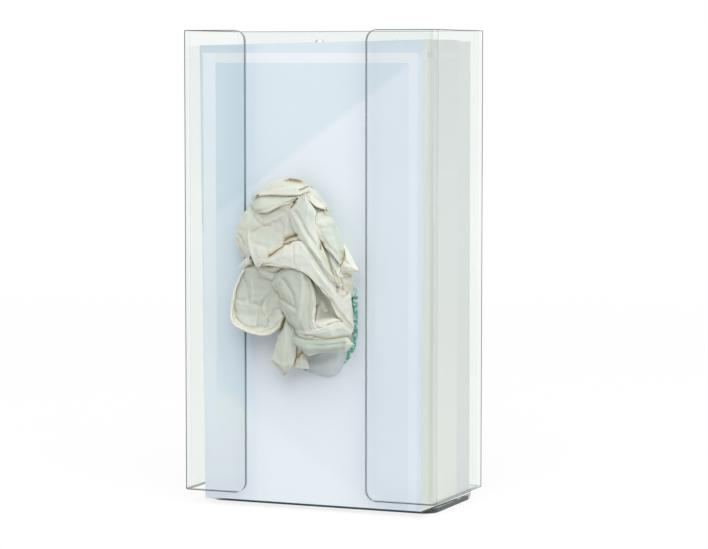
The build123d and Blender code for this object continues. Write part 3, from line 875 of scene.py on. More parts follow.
DRAWN_GLOVE_FOLDS: tuple[Fold, ...] = (
    Fold("crown_back", "FTTF", 0.4, 0.2, 0.0, (
        ((-23.9, 2, 169.4), (-15.6, 3, 173.1), (-9.4, 4, 174.5), (-4.2, 4, 174.3), (1.9, 4, 171.7)),
        ((-23.0, 4, 166.9), (-14.7, 5, 170.1), (-8.6, 6, 173.1), (-3.3, 6, 173.2), (2.8, 6, 170.5)),
        ((-23.4, 3, 163.9), (-15.2, 4, 167.1), (-9.5, 4, 170.9), (-4.2, 4, 171.4), (2.8, 5, 168.9)),
    )),
    Fold("top_roll", "FTFT", 0.55, 0.25, 0.0, (
        ((-30.6, 3, 159.2), (-29.0, 4, 164.9), (-24.6, 5, 169.0), (-17.5, 6, 172.3), (-8.8, 9, 173.9),
         (-1.9, 10, 173.1), (3.4, 10, 172.1)),
        ((-28.7, 6, 159.6), (-26.3, 8, 165.3), (-21.5, 9, 167.9), (-14.9, 10, 170.3),
         (-7.3, 12.5, 171.7), (-0.4, 13.5, 171.5), (5.1, 13, 170.8)),
        ((-27.3, 8, 159.8), (-24.1, 11, 165.7), (-18.8, 12.5, 167.0), (-12.5, 13.5, 168.1),
         (-5.7, 15, 169.1), (0.5, 15.5, 169.4), (5.9, 15, 169.1)),
        ((-26.8, 8, 159.9), (-23.2, 11.5, 166.0), (-18.0, 13, 166.5), (-11.9, 14, 166.5),
         (-5.1, 15.5, 166.6), (0.7, 16, 166.8), (5.1, 16, 167.3)),
    )),
    Fold("pocket_flap", "TTFF", 0.45, 0.25, 0.12, (
        ((-26.6, 8, 164.3), (-23.1, 10, 165.6), (-16.1, 11, 166.0), (-8.9, 12.5, 166.1),
         (-2.8, 13.5, 166.3), (3.3, 14.5, 166.7)),
        ((-27.3, 8.5, 161.7), (-21.8, 12, 161.9), (-14.6, 13.5, 162.7), (-8.4, 14.5, 163.5),
         (-3.1, 15.5, 164.7), (2.8, 16, 166.1)),
        ((-26.9, 8.5, 158.5), (-20.9, 13, 158.3), (-15.3, 14.5, 158.5), (-9.2, 15.5, 161.0),
         (-4.0, 16.2, 163.0), (2.0, 17, 165.3)),
        ((-25.8, 8, 156.2), (-20.4, 12.8, 157.0), (-15.7, 14.5, 157.1), (-9.2, 15.8, 160.8),
         (-5.1, 16.5, 162.8), (1.3, 17.2, 164.9)),
    )),
    Fold("left_lobe", "TTTF", 0.5, 0.35, 0.1, (
        ((-31.7, 2, 159.2), (-29.0, 4, 158.6), (-26.2, 6, 157.2)),
        ((-35.9, 2, 154.9), (-31.6, 5, 155.2), (-27.6, 7, 154.3)),
        ((-38.6, 2, 150.0), (-33.7, 5, 150.3), (-28.4, 8, 150.6)),
        ((-39.4, 2.5, 144.7), (-33.9, 5.5, 145.0), (-28.6, 8, 145.3)),
        ((-38.8, 3, 138.7), (-34.1, 5, 139.0), (-28.6, 8, 139.3)),
        ((-35.1, 3.5, 133.1), (-32.5, 5, 133.4), (-28.8, 7, 133.6)),
    )),
    Fold("left_panel", "TTFF", 0.5, 0.3, 0.2, (
        ((-27.4, 7.5, 156.4), (-22.1, 10.4, 156.1), (-16.4, 12.2, 156.7), (-10.8, 13.8, 158.8),
         (-5.3, 15.2, 160.7), (-0.5, 16, 162.1)),
        ((-28.4, 9.5, 149.9), (-22.4, 11.5, 150.5), (-16.5, 12, 151.0), (-11.4, 12.5, 151.9),
         (-6.9, 13.5, 153.2), (-2.4, 14.5, 154.5)),
        ((-28.5, 10.5, 144.0), (-22.5, 11.5, 144.9), (-17.1, 11.5, 145.4), (-12.0, 12, 146.7),
         (-7.5, 13, 148.0), (-2.0, 14.5, 149.3)),
        ((-27.3, 12, 137.4), (-22.0, 12.5, 139.0), (-17.1, 12.5, 139.9), (-12.4, 13, 141.2),
         (-7.5, 14, 142.8), (-0.7, 15.5, 145.3)),
        ((-24.7, 13.5, 132.3), (-20.9, 15, 134.0), (-16.4, 15.8, 135.3), (-12.1, 16.4, 137.1),
         (-8.0, 17, 138.9), (-5.2, 17.2, 141.1)),
        ((-22.3, 14.5, 128.3), (-20.0, 16, 129.6), (-16.6, 17.2, 131.8), (-12.6, 18, 134.3),
         (-8.5, 18.5, 136.9), (-5.1, 18.5, 139.7)),
    )),
    Fold("gap_strip", "FTFT", 0.25, 0.1, 0.0, (
        ((-7.6, 14.5, 141.2), (-4.4, 15.5, 142.7), (-0.8, 16.2, 144.4), (3.0, 16.5, 145.1)),
        ((-7.1, 15.2, 140.6), (-3.7, 16.4, 142.0), (-0.2, 17, 143.5), (3.8, 17.4, 144.3)),
        ((-6.9, 14.8, 140.0), (-3.6, 16, 141.2), (-0.1, 16.8, 142.5), (4.1, 17, 143.5)),
    )),
    Fold("central_fold", "TFTF", 0.5, 0.25, 0.2, (
        ((5.0, 16.6, 166.8), (6.1, 17.1, 167.2), (7.1, 17.2, 167.0), (7.7, 16.8, 166.3)),
        ((2.2, 17, 163.9), (5.4, 18.3, 163.5), (7.9, 18.5, 163.2), (9.7, 17.4, 162.7)),
        ((-1.6, 16.6, 159.8), (3.8, 18.8, 158.7), (8.7, 19.4, 158.1), (12.6, 17.7, 158.3)),
        ((-2.2, 16.6, 156.1), (3.7, 19.1, 153.7), (8.9, 19.9, 152.8), (12.4, 18.1, 153.2)),
        ((0.2, 17.5, 149.5), (5.5, 19.4, 149.0), (10.3, 20.4, 148.1), (13.6, 18.6, 147.7)),
        ((3.1, 18.7, 145.2), (7.8, 20.3, 144.3), (12.9, 20.9, 142.3), (16.0, 18.7, 142.0)),
        ((7.5, 19.5, 141.3), (12.2, 21.1, 139.0), (16.7, 21.3, 136.2), (19.3, 18.6, 134.2)),
        ((12.9, 19.9, 135.3), (16.1, 21, 133.2), (19.4, 21.2, 130.8), (21.3, 18.5, 128.6)),
        ((18.2, 19.7, 128.2), (20.7, 20.4, 126.7), (23.2, 20.2, 125.1), (24.5, 17.8, 123.5)),
        ((22.7, 18.3, 122.3), (24.3, 18.7, 121.7), (25.9, 18.2, 120.7), (26.6, 15.8, 119.3)),
    )),
    Fold("crest_layer", "TFTT", 0.4, 0.2, 0.0, (
        ((5.1, 13, 170.8), (5.4, 11, 171.5), (3.7, 5, 171.3)),
        ((7.1, 14, 166.8), (8.7, 12, 168.2), (7.6, 5, 168.2)),
        ((9.5, 14, 163.6), (11.5, 12, 165.1), (10.7, 5, 164.9)),
        ((11.9, 13, 161.0), (13.7, 11.5, 162.3), (12.8, 5, 161.9)),
        ((15.1, 12, 158.8), (15.6, 10.5, 159.6), (14.7, 5, 159.0)),
    )),
    Fold("crest_ring", "TTBT", 0.45, 0.1, 0.0, (
        ((6.7, 15, 168.3), (10.7, 13, 165.2), (15.3, 11.5, 161.0)),
        ((7.6, 16.5, 166.4), (10.8, 15, 162.8), (15.1, 13, 160.1)),
        ((8.4, 17, 164.6), (12.1, 16.5, 160.9), (17.9, 13, 159.0)),
    )),
    Fold("right_panel", "TFTF", 0.45, 0.35, 0.35, (
        ((7.5, 14, 161.9), (10.9, 12.6, 160.9), (14.7, 10.1, 159.8), (15.3, 6.1, 158.7)),
        ((10.2, 15.3, 156.6), (13.8, 13.6, 157.7), (16.6, 11, 157.7), (16.7, 6.1, 156.3)),
        ((12.3, 16.8, 150.9), (15.5, 15.7, 152.0), (18.6, 12.8, 152.6), (18.8, 6.2, 152.0)),
        ((13.9, 17.4, 146.9), (17.1, 16.4, 146.9), (20.6, 13.8, 147.2), (21.9, 6.8, 146.9)),
        ((15.9, 16.8, 141.9), (19.2, 16.6, 141.7), (22.8, 14.7, 142.1), (24.3, 8.2, 142.9)),
        ((18.7, 15.8, 138.7), (21.5, 16.3, 137.3), (24.1, 15.1, 137.0), (25.0, 10.3, 137.9)),
        ((22.2, 14.7, 134.4), (23.8, 15.5, 133.4), (24.9, 14.9, 132.6), (25.3, 12.4, 133.0)),
    )),
    Fold("mid_channel", "TTTT", 0.4, 0.2, 0.3, (
        ((10.7, 13, 147.3), (13.5, 13, 143.7), (16.7, 14, 140.9), (19.1, 14, 139.1)),
        ((13.9, 13, 140.0), (17.1, 14, 138.7), (18.9, 13.5, 138.0), (21.5, 13, 135.0)),
        ((16.7, 13, 133.4), (19.6, 15, 132.9), (21.1, 14, 132.2), (23.9, 13, 131.4)),
        ((19.9, 14, 127.0), (22.2, 15.5, 126.4), (23.1, 15, 126.4), (24.3, 13, 126.3)),
        ((22.7, 14, 121.1), (23.5, 14, 120.8), (23.9, 13, 120.5), (24.7, 12, 119.9)),
    )),
    Fold("tip_flap", "TFFT", 0.3, 0.15, 0.0, (
        ((23.6, 8, 143.1), (24.0, 8, 143.1), (24.1, 7, 142.6)),
        ((23.7, 9, 137.8), (25.6, 9.5, 138.5), (26.7, 8, 138.4)),
        ((23.8, 10, 133.8), (27.7, 11, 133.6), (30.1, 9, 133.3)),
        ((25.1, 10.5, 132.6), (29.7, 11, 130.3), (33.8, 10, 127.8)),
    )),
    Fold("tip_face", "TFFF", 0.3, 0.15, 0.0, (
        ((25.1, 11.5, 133.3), (25.7, 11.5, 133.4), (26.5, 11.5, 133.0)),
        ((24.0, 12, 129.9), (27.8, 12.8, 130.3), (30.7, 12, 129.9)),
        ((23.3, 11.5, 126.6), (28.7, 12, 127.3), (33.9, 10.6, 127.6)),
    )),
    Fold("low_curl", "TFTT", 0.4, 0.25, 0.2, (
        ((22.7, 12, 130.6), (24.7, 12, 126.5), (26.9, 4, 127.0)),
        ((22.3, 12.5, 126.2), (25.5, 12.5, 124.4), (26.2, 0, 122.8)),
        ((22.5, 12.5, 122.1), (25.5, 10.5, 120.8), (25.8, -2, 118.5)),
        ((23.3, 11.5, 119.5), (25.4, 8.5, 117.4), (25.6, -3, 113.6)),
    )),
    Fold("arch", "FTFF", 0.55, 0.25, 0.0, (
        ((-18.0, 17.2, 130.5), (-13.3, 18.1, 134.2), (-7.8, 18.7, 137.7), (-2.7, 19.1, 140.7),
         (2.2, 19.3, 142.7), (6.2, 19, 142.5), (10.2, 18.9, 138.8), (13.8, 18.7, 134.1),
         (17.7, 18.4, 128.7), (22.3, 17.2, 123.1), (26.0, 13.9, 118.1), (28.6, 8, 114.5),
         (27.1, 1.3, 97.4)),
        ((-17.2, 18, 130.4), (-11.8, 19.7, 132.3), (-6.9, 20.4, 134.0), (-2.2, 21, 135.2),
         (2.5, 21.5, 136.1), (6.8, 21.5, 135.6), (10.6, 21.1, 132.6), (14.2, 20.5, 128.3),
         (17.9, 19.8, 123.3), (22.0, 18.4, 118.4), (24.9, 15.1, 112.4), (27.0, 9.5, 107.6),
         (27.5, 2.5, 96.8)),
        ((-16.9, 17.6, 130.3), (-11.0, 19.6, 130.3), (-6.7, 20.3, 129.7), (-2.8, 20.8, 129.3),
         (1.8, 21.2, 129.4), (6.2, 21.2, 128.2), (10.0, 20.7, 125.7), (13.7, 19.9, 122.0),
         (17.2, 18.8, 117.3), (20.5, 17.2, 113.2), (22.6, 14.1, 106.4), (24.2, 8.4, 100.6),
         (27.2, 2.4, 95.4)),
    )),
    Fold("arch_loop", "TTFF", 0.25, 0.1, 0.0, (
        ((-17.8, 15, 130.1), (-14.5, 16, 129.9), (-11.1, 16.5, 129.9), (-7.4, 17, 129.2)),
        ((-17.1, 15.5, 128.2), (-13.7, 17, 127.4), (-10.3, 17.6, 127.6), (-6.7, 18, 128.8)),
        ((-16.5, 15.2, 127.1), (-13.1, 16.6, 126.4), (-9.7, 17.2, 126.9), (-6.1, 17.8, 128.5)),
    )),
    Fold("arch_under", "TTFT", 0.45, 0.25, 0.15, (
        ((-24.0, 11, 128.3), (-18.5, 13, 129.6), (-12.9, 14.5, 128.8), (-6.6, 15, 128.6)),
        ((-22.1, 11.5, 125.7), (-17.3, 14, 125.8), (-12.6, 15, 125.7), (-8.1, 14.5, 125.8)),
        ((-20.7, 11, 123.6), (-16.3, 13.5, 122.8), (-12.6, 14.5, 122.5), (-9.1, 14, 122.4)),
    )),
    Fold("cuff", "TTBT", 0.42, 0.35, 0.28, (
        ((-29.8, 5.5, 130.5), (-28.1, 4.4, 125.6), (-27.1, 3.4, 118.8), (-25.4, 3.4, 113.5),
         (-23.0, 4.2, 110.3), (-20.3, 5.2, 109.7), (-17.4, 7, 110.7), (-14.2, 8.5, 112.2),
         (-11.6, 9.5, 114.1)),
        ((-30.9, 5.5, 128.6), (-33.4, 3.2, 121.6), (-34.4, 2.8, 113.2), (-33.2, 2.8, 106.4),
         (-30.0, 3.5, 102.5), (-25.1, 5, 101.0), (-19.9, 7, 102.1), (-15.2, 9, 105.0),
         (-11.1, 10.5, 108.6)),
        ((-32.0, 5.5, 127.6), (-35.9, 4.4, 119.5), (-38.1, 4.6, 110.6), (-37.7, 5.2, 102.7),
         (-33.9, 6.2, 98.2), (-27.5, 7.6, 95.9), (-20.0, 9, 95.4), (-13.6, 10.5, 98.4),
         (-9.6, 11.5, 104.3)),
        ((-32.8, 6.5, 126.9), (-37.3, 7.2, 118.3), (-39.5, 8.4, 108.9), (-39.2, 9.4, 101.5),
         (-35.7, 10.4, 96.7), (-28.0, 11.4, 94.1), (-18.6, 12.2, 92.9), (-11.0, 12.6, 96.1),
         (-8.2, 12.6, 101.6)),
    )),
    Fold("cuff_inside", "TTTT", 0.4, 0.25, 0.3, (
        ((-32.2, 6.2, 126.9), (-27.9, 6.6, 126.5), (-21.4, 8.5, 124.2), (-14.7, 11.5, 122.0),
         (-10.6, 12.5, 120.7)),
        ((-36.2, 5.4, 118.6), (-30.5, 5, 117.3), (-23.6, 6.4, 116.1), (-17.1, 9, 115.4),
         (-10.7, 11.5, 114.3)),
        ((-38.3, 5.6, 110.3), (-31.9, 4.6, 108.9), (-24.8, 5.6, 109.2), (-18.0, 8, 109.7),
         (-10.1, 11, 109.0)),
        ((-37.7, 6.2, 102.4), (-31.3, 5, 102.2), (-24.4, 5.8, 102.9), (-17.6, 8, 103.7),
         (-9.3, 11, 103.8)),
        ((-33.6, 7.2, 97.9), (-27.9, 6.8, 97.2), (-21.4, 7.8, 96.8), (-14.9, 9.4, 99.4),
         (-9.5, 11, 102.0)),
    )),
    Fold("palm_lobe", "TFFF", 0.55, 0.3, 0.55, (
        ((-12.7, 15.1, 122.7), (-8.4, 17.4, 125.8), (-3.9, 18.4, 128.6), (1.2, 19, 129.0),
         (6.1, 19, 127.5), (9.2, 18, 124.0), (11.2, 16.1, 119.5)),
        ((-14.0, 14.7, 119.3), (-8.4, 17.3, 121.9), (-3.3, 18.8, 123.6), (1.8, 19.3, 123.8),
         (6.2, 19.3, 123.2), (9.6, 18, 119.5), (12.1, 15.3, 114.2)),
        ((-11.4, 14.4, 116.4), (-6.6, 16.9, 116.7), (-1.9, 18.4, 117.7), (2.1, 19.2, 117.9),
         (6.1, 19.2, 117.3), (9.7, 17.9, 114.4), (12.1, 15.2, 111.1)),
        ((-9.1, 14, 112.1), (-4.7, 16.6, 111.7), (-0.8, 18.2, 111.8), (3.3, 19.2, 111.3),
         (6.8, 18.8, 110.6), (9.8, 17.4, 109.2), (11.5, 14.9, 106.8)),
        ((-7.6, 13.9, 106.8), (-3.7, 16.2, 106.2), (0.3, 17.8, 105.6), (4.1, 18.8, 105.0),
         (7.0, 18.1, 104.3), (9.2, 16.8, 103.5), (10.9, 15, 102.3)),
        ((-4.8, 13.8, 101.3), (-1.5, 15.7, 100.8), (1.9, 17, 100.3), (5.1, 17.7, 99.8),
         (7.9, 17.3, 99.5), (10.1, 16.4, 99.6), (11.8, 15.2, 100.2)),
        ((-1.3, 13.7, 97.9), (0.8, 15, 96.7), (3.6, 15.9, 96.2), (6.7, 16.6, 96.1), (9.6, 16.6, 96.6),
         (12.2, 16.1, 97.4), (14.6, 15.2, 98.5)),
    )),
    Fold("pocket_back", "TTTT", 0.4, 0.2, 0.6, (
        ((8.7, 14, 123.7), (12.5, 13.5, 120.8), (16.7, 13, 116.8)),
        ((8.4, 11.5, 116.8), (12.4, 9.5, 113.0), (18.2, 11, 110.8)),
        ((9.2, 10.5, 111.5), (14.3, 8.5, 107.1), (20.4, 9.5, 104.8)),
        ((8.8, 11.5, 104.9), (15.0, 10, 102.8), (22.4, 8.5, 101.4)),
        ((9.2, 12.5, 100.6), (15.8, 12, 100.0), (23.4, 9, 100.4)),
    )),
    Fold("pocket_sill", "FTFF", 0.3, 0.15, 0.0, (
        ((9.9, 13.5, 101.7), (13.9, 13, 102.3), (17.7, 12.5, 103.2), (21.1, 11.5, 103.6)),
        ((11.4, 15.2, 100.1), (15.2, 14.8, 101.1), (19.0, 13.8, 102.2), (23.0, 12.2, 102.8)),
        ((12.7, 15.6, 98.0), (16.6, 15.2, 99.5), (20.2, 14.2, 100.8), (24.0, 12, 101.7)),
    )),
    Fold("wrist_strip", "FTTT", 0.45, 0.25, 0.2, (
        ((-0.3, 14.7, 96.1), (7.3, 16.5, 95.8), (13.2, 16.6, 97.2), (19.0, 15.6, 99.7),
         (24.3, 12.7, 101.6)),
        ((1.4, 15.4, 94.9), (8.0, 17.1, 94.6), (14.0, 17, 95.7), (20.2, 16, 97.6), (26.4, 10.4, 98.4)),
        ((2.6, 14.9, 93.5), (7.9, 16, 93.0), (14.0, 16.1, 93.4), (20.5, 14.9, 93.9), (27.7, 6.8, 95.0)),
        ((3.0, 13.7, 92.6), (8.1, 14.6, 91.8), (13.8, 14.7, 91.6), (20.1, 13.4, 91.9),
         (26.3, 6.4, 92.6)),
    )),
    Fold("low_finger", "FFFT", 0.55, 0.25, 0.7, (
        ((-1.2, 12.6, 94.8), (6.3, 14.1, 93.5), (12.2, 14.8, 92.8), (18.6, 14.7, 92.6),
         (23.6, 13.2, 93.1), (27.1, 11.4, 93.7)),
        ((-0.6, 14.6, 92.0), (7.3, 16.4, 91.0), (13.1, 16.7, 90.6), (19.3, 16.3, 90.6),
         (24.2, 14.7, 91.1), (28.1, 12.5, 92.2)),
        ((0.3, 15.3, 89.3), (7.6, 17.1, 87.6), (13.1, 16.9, 87.8), (19.2, 16, 88.3),
         (24.0, 14.2, 88.7), (27.6, 12, 89.4)),
        ((1.4, 14.5, 87.2), (7.6, 15.6, 83.8), (12.4, 15.2, 85.1), (18.5, 14.4, 86.2),
         (23.4, 12.7, 86.2), (26.0, 10.4, 85.9)),
    )),
    Fold("low_finger_end", "FFFT", 0.25, 0.05, 0.0, (
        ((26.5, 10, 93.7), (28.0, 8.5, 91.9), (28.4, 4.5, 89.6)),
        ((28.3, 11.5, 90.2), (28.9, 9.5, 89.9), (28.8, 5, 89.5)),
        ((25.3, 9, 85.6), (27.2, 7.5, 87.4), (28.4, 4.5, 89.2)),
    )),
    Fold("hanging_finger", "TFFF", 0.5, 0.3, 0.35, (
        ((-8.8, 10.2, 101.9), (-6.5, 11.8, 101.8), (-5.1, 10.7, 101.0)),
        ((-10.5, 10, 96.6), (-5.9, 12.3, 97.4), (-2.8, 11, 97.0)),
        ((-11.8, 9.8, 92.8), (-5.7, 12.7, 93.3), (-1.1, 11.3, 92.2)),
        ((-13.2, 9.7, 88.2), (-6.1, 12.8, 88.8), (-1.4, 11.1, 87.4)),
        ((-15.0, 9.2, 82.9), (-7.5, 12.3, 83.5), (-2.2, 10.6, 82.8)),
        ((-16.4, 8.7, 78.9), (-9.1, 11.4, 78.2), (-3.6, 10.1, 78.3)),
        ((-12.5, 8.8, 75.3), (-8.8, 10.2, 74.8), (-6.1, 9.4, 75.0)),
        ((-9.4, 8.6, 72.5), (-8.7, 8.8, 72.1), (-8.2, 8.6, 72.5)),
    )),
    Fold("finger_bit", "TFFF", 0.4, 0.2, 0.3, (
        ((-1.3, 9.5, 86.8), (2.1, 11, 84.9), (3.0, 8.5, 82.4)),
        ((-2.0, 9, 81.5), (2.2, 11.4, 81.0), (4.1, 8.5, 79.7)),
        ((-3.9, 8, 77.1), (0.8, 9.6, 76.6), (4.2, 7, 76.0)),
    )),
    Fold("side_point", "TTFF", 0.25, 0.1, 0.0, (
        ((-31.0, 6.5, 133.6), (-30.3, 7, 133.2), (-29.3, 7.5, 132.5)),
        ((-34.1, 6, 130.5), (-31.7, 7.6, 130.0), (-30.1, 7.8, 129.5)),
        ((-36.9, 5, 127.3), (-34.4, 6, 127.2), (-32.2, 6.5, 127.6)),
    )),
)

NEXT_GLOVE_FOLDS: tuple[Fold, ...] = (
    Fold("next_fold", "TTFF", 0.45, 0.25, 0.0, (
        ((-8.2, -4, 92.4), (0.0, -2, 92.2), (8.6, -1, 92.6), (16.7, -1, 93.7), (24.3, -5, 95.8)),
        ((-5.5, -3.5, 84.3), (1.7, 0, 84.2), (9.1, 1, 85.3), (17.4, 0.5, 86.4), (23.5, -6, 89.7)),
        ((-3.4, -2.4, 79.9), (4.4, 0.6, 81.0), (11.9, 1, 81.7), (17.8, -0.5, 82.5), (21.9, -6.5, 83.6)),
        ((-2.1, -1.6, 76.3), (5.8, 1, 76.9), (12.7, 1, 77.2), (17.1, -1.2, 77.6), (20.1, -6.5, 78.7)),
        ((-1.4, -3.4, 73.7), (5.5, -2.6, 72.3), (11.3, -2.4, 72.1), (15.2, -3.6, 72.7),
         (18.0, -6, 74.1)),
    )),
)


def spline_weights(points: int, samples: int, crisp: float) -> np.ndarray:
    """Gives the weights of a line through evenly spaced points.

    Args:
        points: how many points the line goes through.
        samples: how many places along it are wanted.
        crisp: 0 for a smooth line, up to 1 for straight stretches that meet in creases.

    Returns:
        One row of weights for each sample.
    """
    weights = np.zeros((samples, points))
    for row, place in enumerate(np.linspace(0, points - 1, samples)):
        first = min(int(place), points - 2)
        t = place - first
        parts = (
            (-t + 2 * t**2 - t**3) / 2,
            (2 - 5 * t**2 + 3 * t**3) / 2,
            (t + 4 * t**2 - 3 * t**3) / 2,
            (-(t**2) + t**3) / 2,
        )
        straight = (0.0, 1.0 - t, t, 0.0)
        parts = [crisp * flat + (1.0 - crisp) * part for flat, part in zip(straight, parts)]
        for index, part in zip(range(first - 1, first + 3), parts):
            if index < 0:
                weights[row, 0] += 2 * part
                weights[row, 1] -= part
            elif index >= points:
                weights[row, points - 1] += 2 * part
                weights[row, points - 2] -= part
            else:
                weights[row, index] += part
    return weights


@dataclass(frozen=True)
class Film:
    """Builds latex film from folds. All lengths are in mm."""

    # Length of one mesh face, and the most and fewest faces along a side.
    step: float = 0.64
    fewest: int = 8
    most: int = 130
    thickness: float = 0.3
    # How far film breaks into flat facets, from 0 to 1. A beaded cuff is springy and stays round.
    crisp: float = 0.75
    beaded_crisp: float = 0.15
    # Wrinkles: how long and how far apart the long ones are, and the sizes of the finer ones.
    crease_long: float = 26.0
    crease_apart: float = 5.5
    facet: float = 7.5
    fine: float = 3.0
    # How much the long, middle and fine wrinkles count.
    long_share: float = 2.4
    facet_share: float = 2.6
    fine_share: float = 0.8
    # How far apart the bends in the long wrinkles lie.
    warp: float = 11.0
    # How far in from a turned edge the film is creamier.
    rim_reach: float = 1.0
    # How far away film still shuts a place in, and how many directions are tried.
    shut_in_reach: float = 9.0
    rays: int = 28

    def surface(self, fold: Fold) -> np.ndarray:
        """Lays the smooth surface of one fold.

        Args:
            fold: the fold.

        Returns:
            Grid of points in mm in the row frame, rows by columns by 3.
        """
        crisp = self.beaded_crisp if Edge.BEAD.value in fold.edges else self.crisp
        net = np.array(fold.net, float)
        net = np.stack((net[..., 0], FLANGE_FACE - net[..., 1], net[..., 2]), axis=-1)
        down = np.linalg.norm(np.diff(net, axis=0), axis=-1).sum(0).max()
        across = np.linalg.norm(np.diff(net, axis=1), axis=-1).sum(1).max()
        rows, columns = (int(np.clip(side / self.step, self.fewest, self.most)) for side in (down, across))
        down_weights = spline_weights(net.shape[0], rows, crisp)
        across_weights = spline_weights(net.shape[1], columns, crisp)
        return np.einsum("ri,cj,ijk->rck", down_weights, across_weights, net)

    @staticmethod
    def normals(grid: np.ndarray) -> np.ndarray:
        """Finds the directions that the film faces, towards the front.

        Args:
            grid: rows by columns by 3 points.

        Returns:
            Unit normals, the same shape as the grid.
        """
        down, right = np.gradient(grid, axis=0), np.gradient(grid, axis=1)
        facing = np.cross(down, right)
        length = np.linalg.norm(facing, axis=-1, keepdims=True)
        return facing / np.maximum(length, 1e-9)

    def wrinkled(self, grid: np.ndarray, depth: float, seed: float) -> np.ndarray:
        """Pushes fine wrinkles into a fold.

        Args:
            grid: rows by columns by 3 points.
            depth: depth of a wrinkle in mm.
            seed: shifts the pattern, so that no two folds share it.

        Returns:
            The wrinkled grid.
        """
        facing = self.normals(grid)
        moved = grid.copy()
        # Long creases run the way that the fold is longer.
        down = np.linalg.norm(np.diff(grid, axis=0), axis=-1).sum(0).mean()
        across = np.linalg.norm(np.diff(grid, axis=1), axis=-1).sum(1).mean()
        sizes = (self.crease_long, self.crease_apart)
        stretch_down, stretch_across = sizes if down > across else reversed(sizes)
        for row, column in np.ndindex(grid.shape[:2]):
            point = Vector(grid[row, column]) + Vector((seed, 0.0, 0.0))
            warp = noise.noise(point / self.warp) * 0.8
            run = row * self.step / stretch_down + warp
            beside = column * self.step / stretch_across - warp
            long_crease = abs(noise.noise(Vector((run, beside, seed))))
            facet = abs(noise.noise(point / self.facet + Vector((5.2, 1.3, 8.1))))
            fine = abs(noise.noise(point / self.fine + Vector((1.2, 7.7, 2.4))))
            rise = long_crease * self.long_share + facet * self.facet_share + fine * self.fine_share - 1.0
            moved[row, column] += facing[row, column] * depth * rise
        return moved

    def turn(self, grid: np.ndarray, edge: Edge, radius: float, sign: float) -> np.ndarray:
        """Lays the rows of film past a grid's last row.

        Args:
            grid: rows by columns by 3 points.
            edge: how the film ends there.
            radius: radius of the turn in mm.
            sign: 1 where the grid's own normals face the front, and -1 where they face away.

        Returns:
            The new rows only. They shrink to nothing at both ends, so that corners close.
        """
        last = grid[-1]
        out = last - grid[-2]
        out /= np.maximum(np.linalg.norm(out, axis=-1, keepdims=True), 1e-9)
        facing = self.normals(grid)[-1] * sign
        along = np.concatenate(([0.0], np.linalg.norm(np.diff(last, axis=0), axis=-1).cumsum()))
        room = np.minimum(along, along[-1] - along)
        rows = []
        if edge is Edge.TUCK:
            scale = np.clip(room / 2.0, 0.0, 1.0)[:, None]
            # A tucked edge dives behind: how far out and how far back each row lies.
            for reach, drop in ((0.9, 0.5), (1.6, 1.6), (2.0, 3.0)):
                rows.append(last + (out * reach - facing * drop) * scale)
        elif edge is not Edge.OPEN:
            scale = np.clip(room / (2.0 * radius), 0.0, 1.0)[:, None] ** 0.5
            side, turned, steps = (-1.0, math.pi, 6) if edge is Edge.FOLD else (1.0, math.tau * 1.05, 14)
            for angle in np.linspace(0, turned, steps + 1)[1:]:
                bent = out * math.sin(angle) + facing * side * (1 - math.cos(angle))
                rows.append(last + bent * radius * scale)
            if edge is Edge.FOLD:
                under = rows[-1]
                for reach in (1.2, 2.4):
                    rows.append(under - (out * reach + facing * 0.3 * reach) * scale)
        return np.array(rows).reshape(-1, grid.shape[1], 3)

    def finished(self, fold: Fold, seed: float) -> tuple[np.ndarray, np.ndarray]:
        """Lays one fold, wrinkles it and finishes its four edges.

        Args:
            fold: the fold.
            seed: shifts the wrinkles' pattern.

        Returns:
            Grid of points in mm, and how creamy each is for lying near an edge, from 0 to 1.
        """
        top, right, bottom, left = (Edge(letter) for letter in fold.edges)
        grid = self.wrinkled(self.surface(fold), fold.wrinkle, seed)
        across_grid, mirrored = grid.transpose(1, 0, 2), grid[:, ::-1].transpose(1, 0, 2)
        above = self.turn(grid[::-1], top, fold.radius, -1.0)[::-1]
        below = self.turn(grid, bottom, fold.radius, 1.0)
        beside = self.turn(across_grid, right, fold.radius, -1.0).transpose(1, 0, 2)
        before = self.turn(mirrored, left, fold.radius, 1.0).transpose(1, 0, 2)[:, ::-1]
        first, last = len(above), len(above) + len(grid)
        whole = np.concatenate((above, grid, below), axis=0)
        for turned, corner in ((before, 0), (beside, -1)):
            columns = np.repeat(whole[:, corner][:, None], turned.shape[1], axis=1)
            columns[first:last] = turned
            whole = np.concatenate((columns, whole) if corner == 0 else (whole, columns), axis=1)
        rows, columns = grid.shape[:2]
        down = (np.arange(whole.shape[0]) - len(above))[:, None]
        across = (np.arange(whole.shape[1]) - before.shape[1])[None, :]
        creamy = {Edge.TUCK: 0.0, Edge.FOLD: 0.6, Edge.OPEN: 0.75, Edge.BEAD: 0.7}
        near = np.zeros(whole.shape[:2])
        for edge, inside in (
            (top, down),
            (bottom, rows - 1 - down),
            (left, across),
            (right, columns - 1 - across),
        ):
            share = np.clip(1.0 - inside * self.step / self.rim_reach, 0.0, 1.0)
            near = np.maximum(near, creamy[edge] * share)
        return whole, near

    def measure_shut_in(self, pieces: list[bpy.types.Object]) -> None:
        """Stores at each vertex how far the film around it shuts it in, from 0 to 1.

        Args:
            pieces: pieces of film that stand together.
        """
        corners, polygons = [], []
        for piece in pieces:
            first = len(corners)
            corners += [vertex.co.copy() for vertex in piece.data.vertices]
            polygons += [tuple(first + v for v in polygon.vertices) for polygon in piece.data.polygons]
        tree = BVHTree.FromPolygons(corners, polygons)
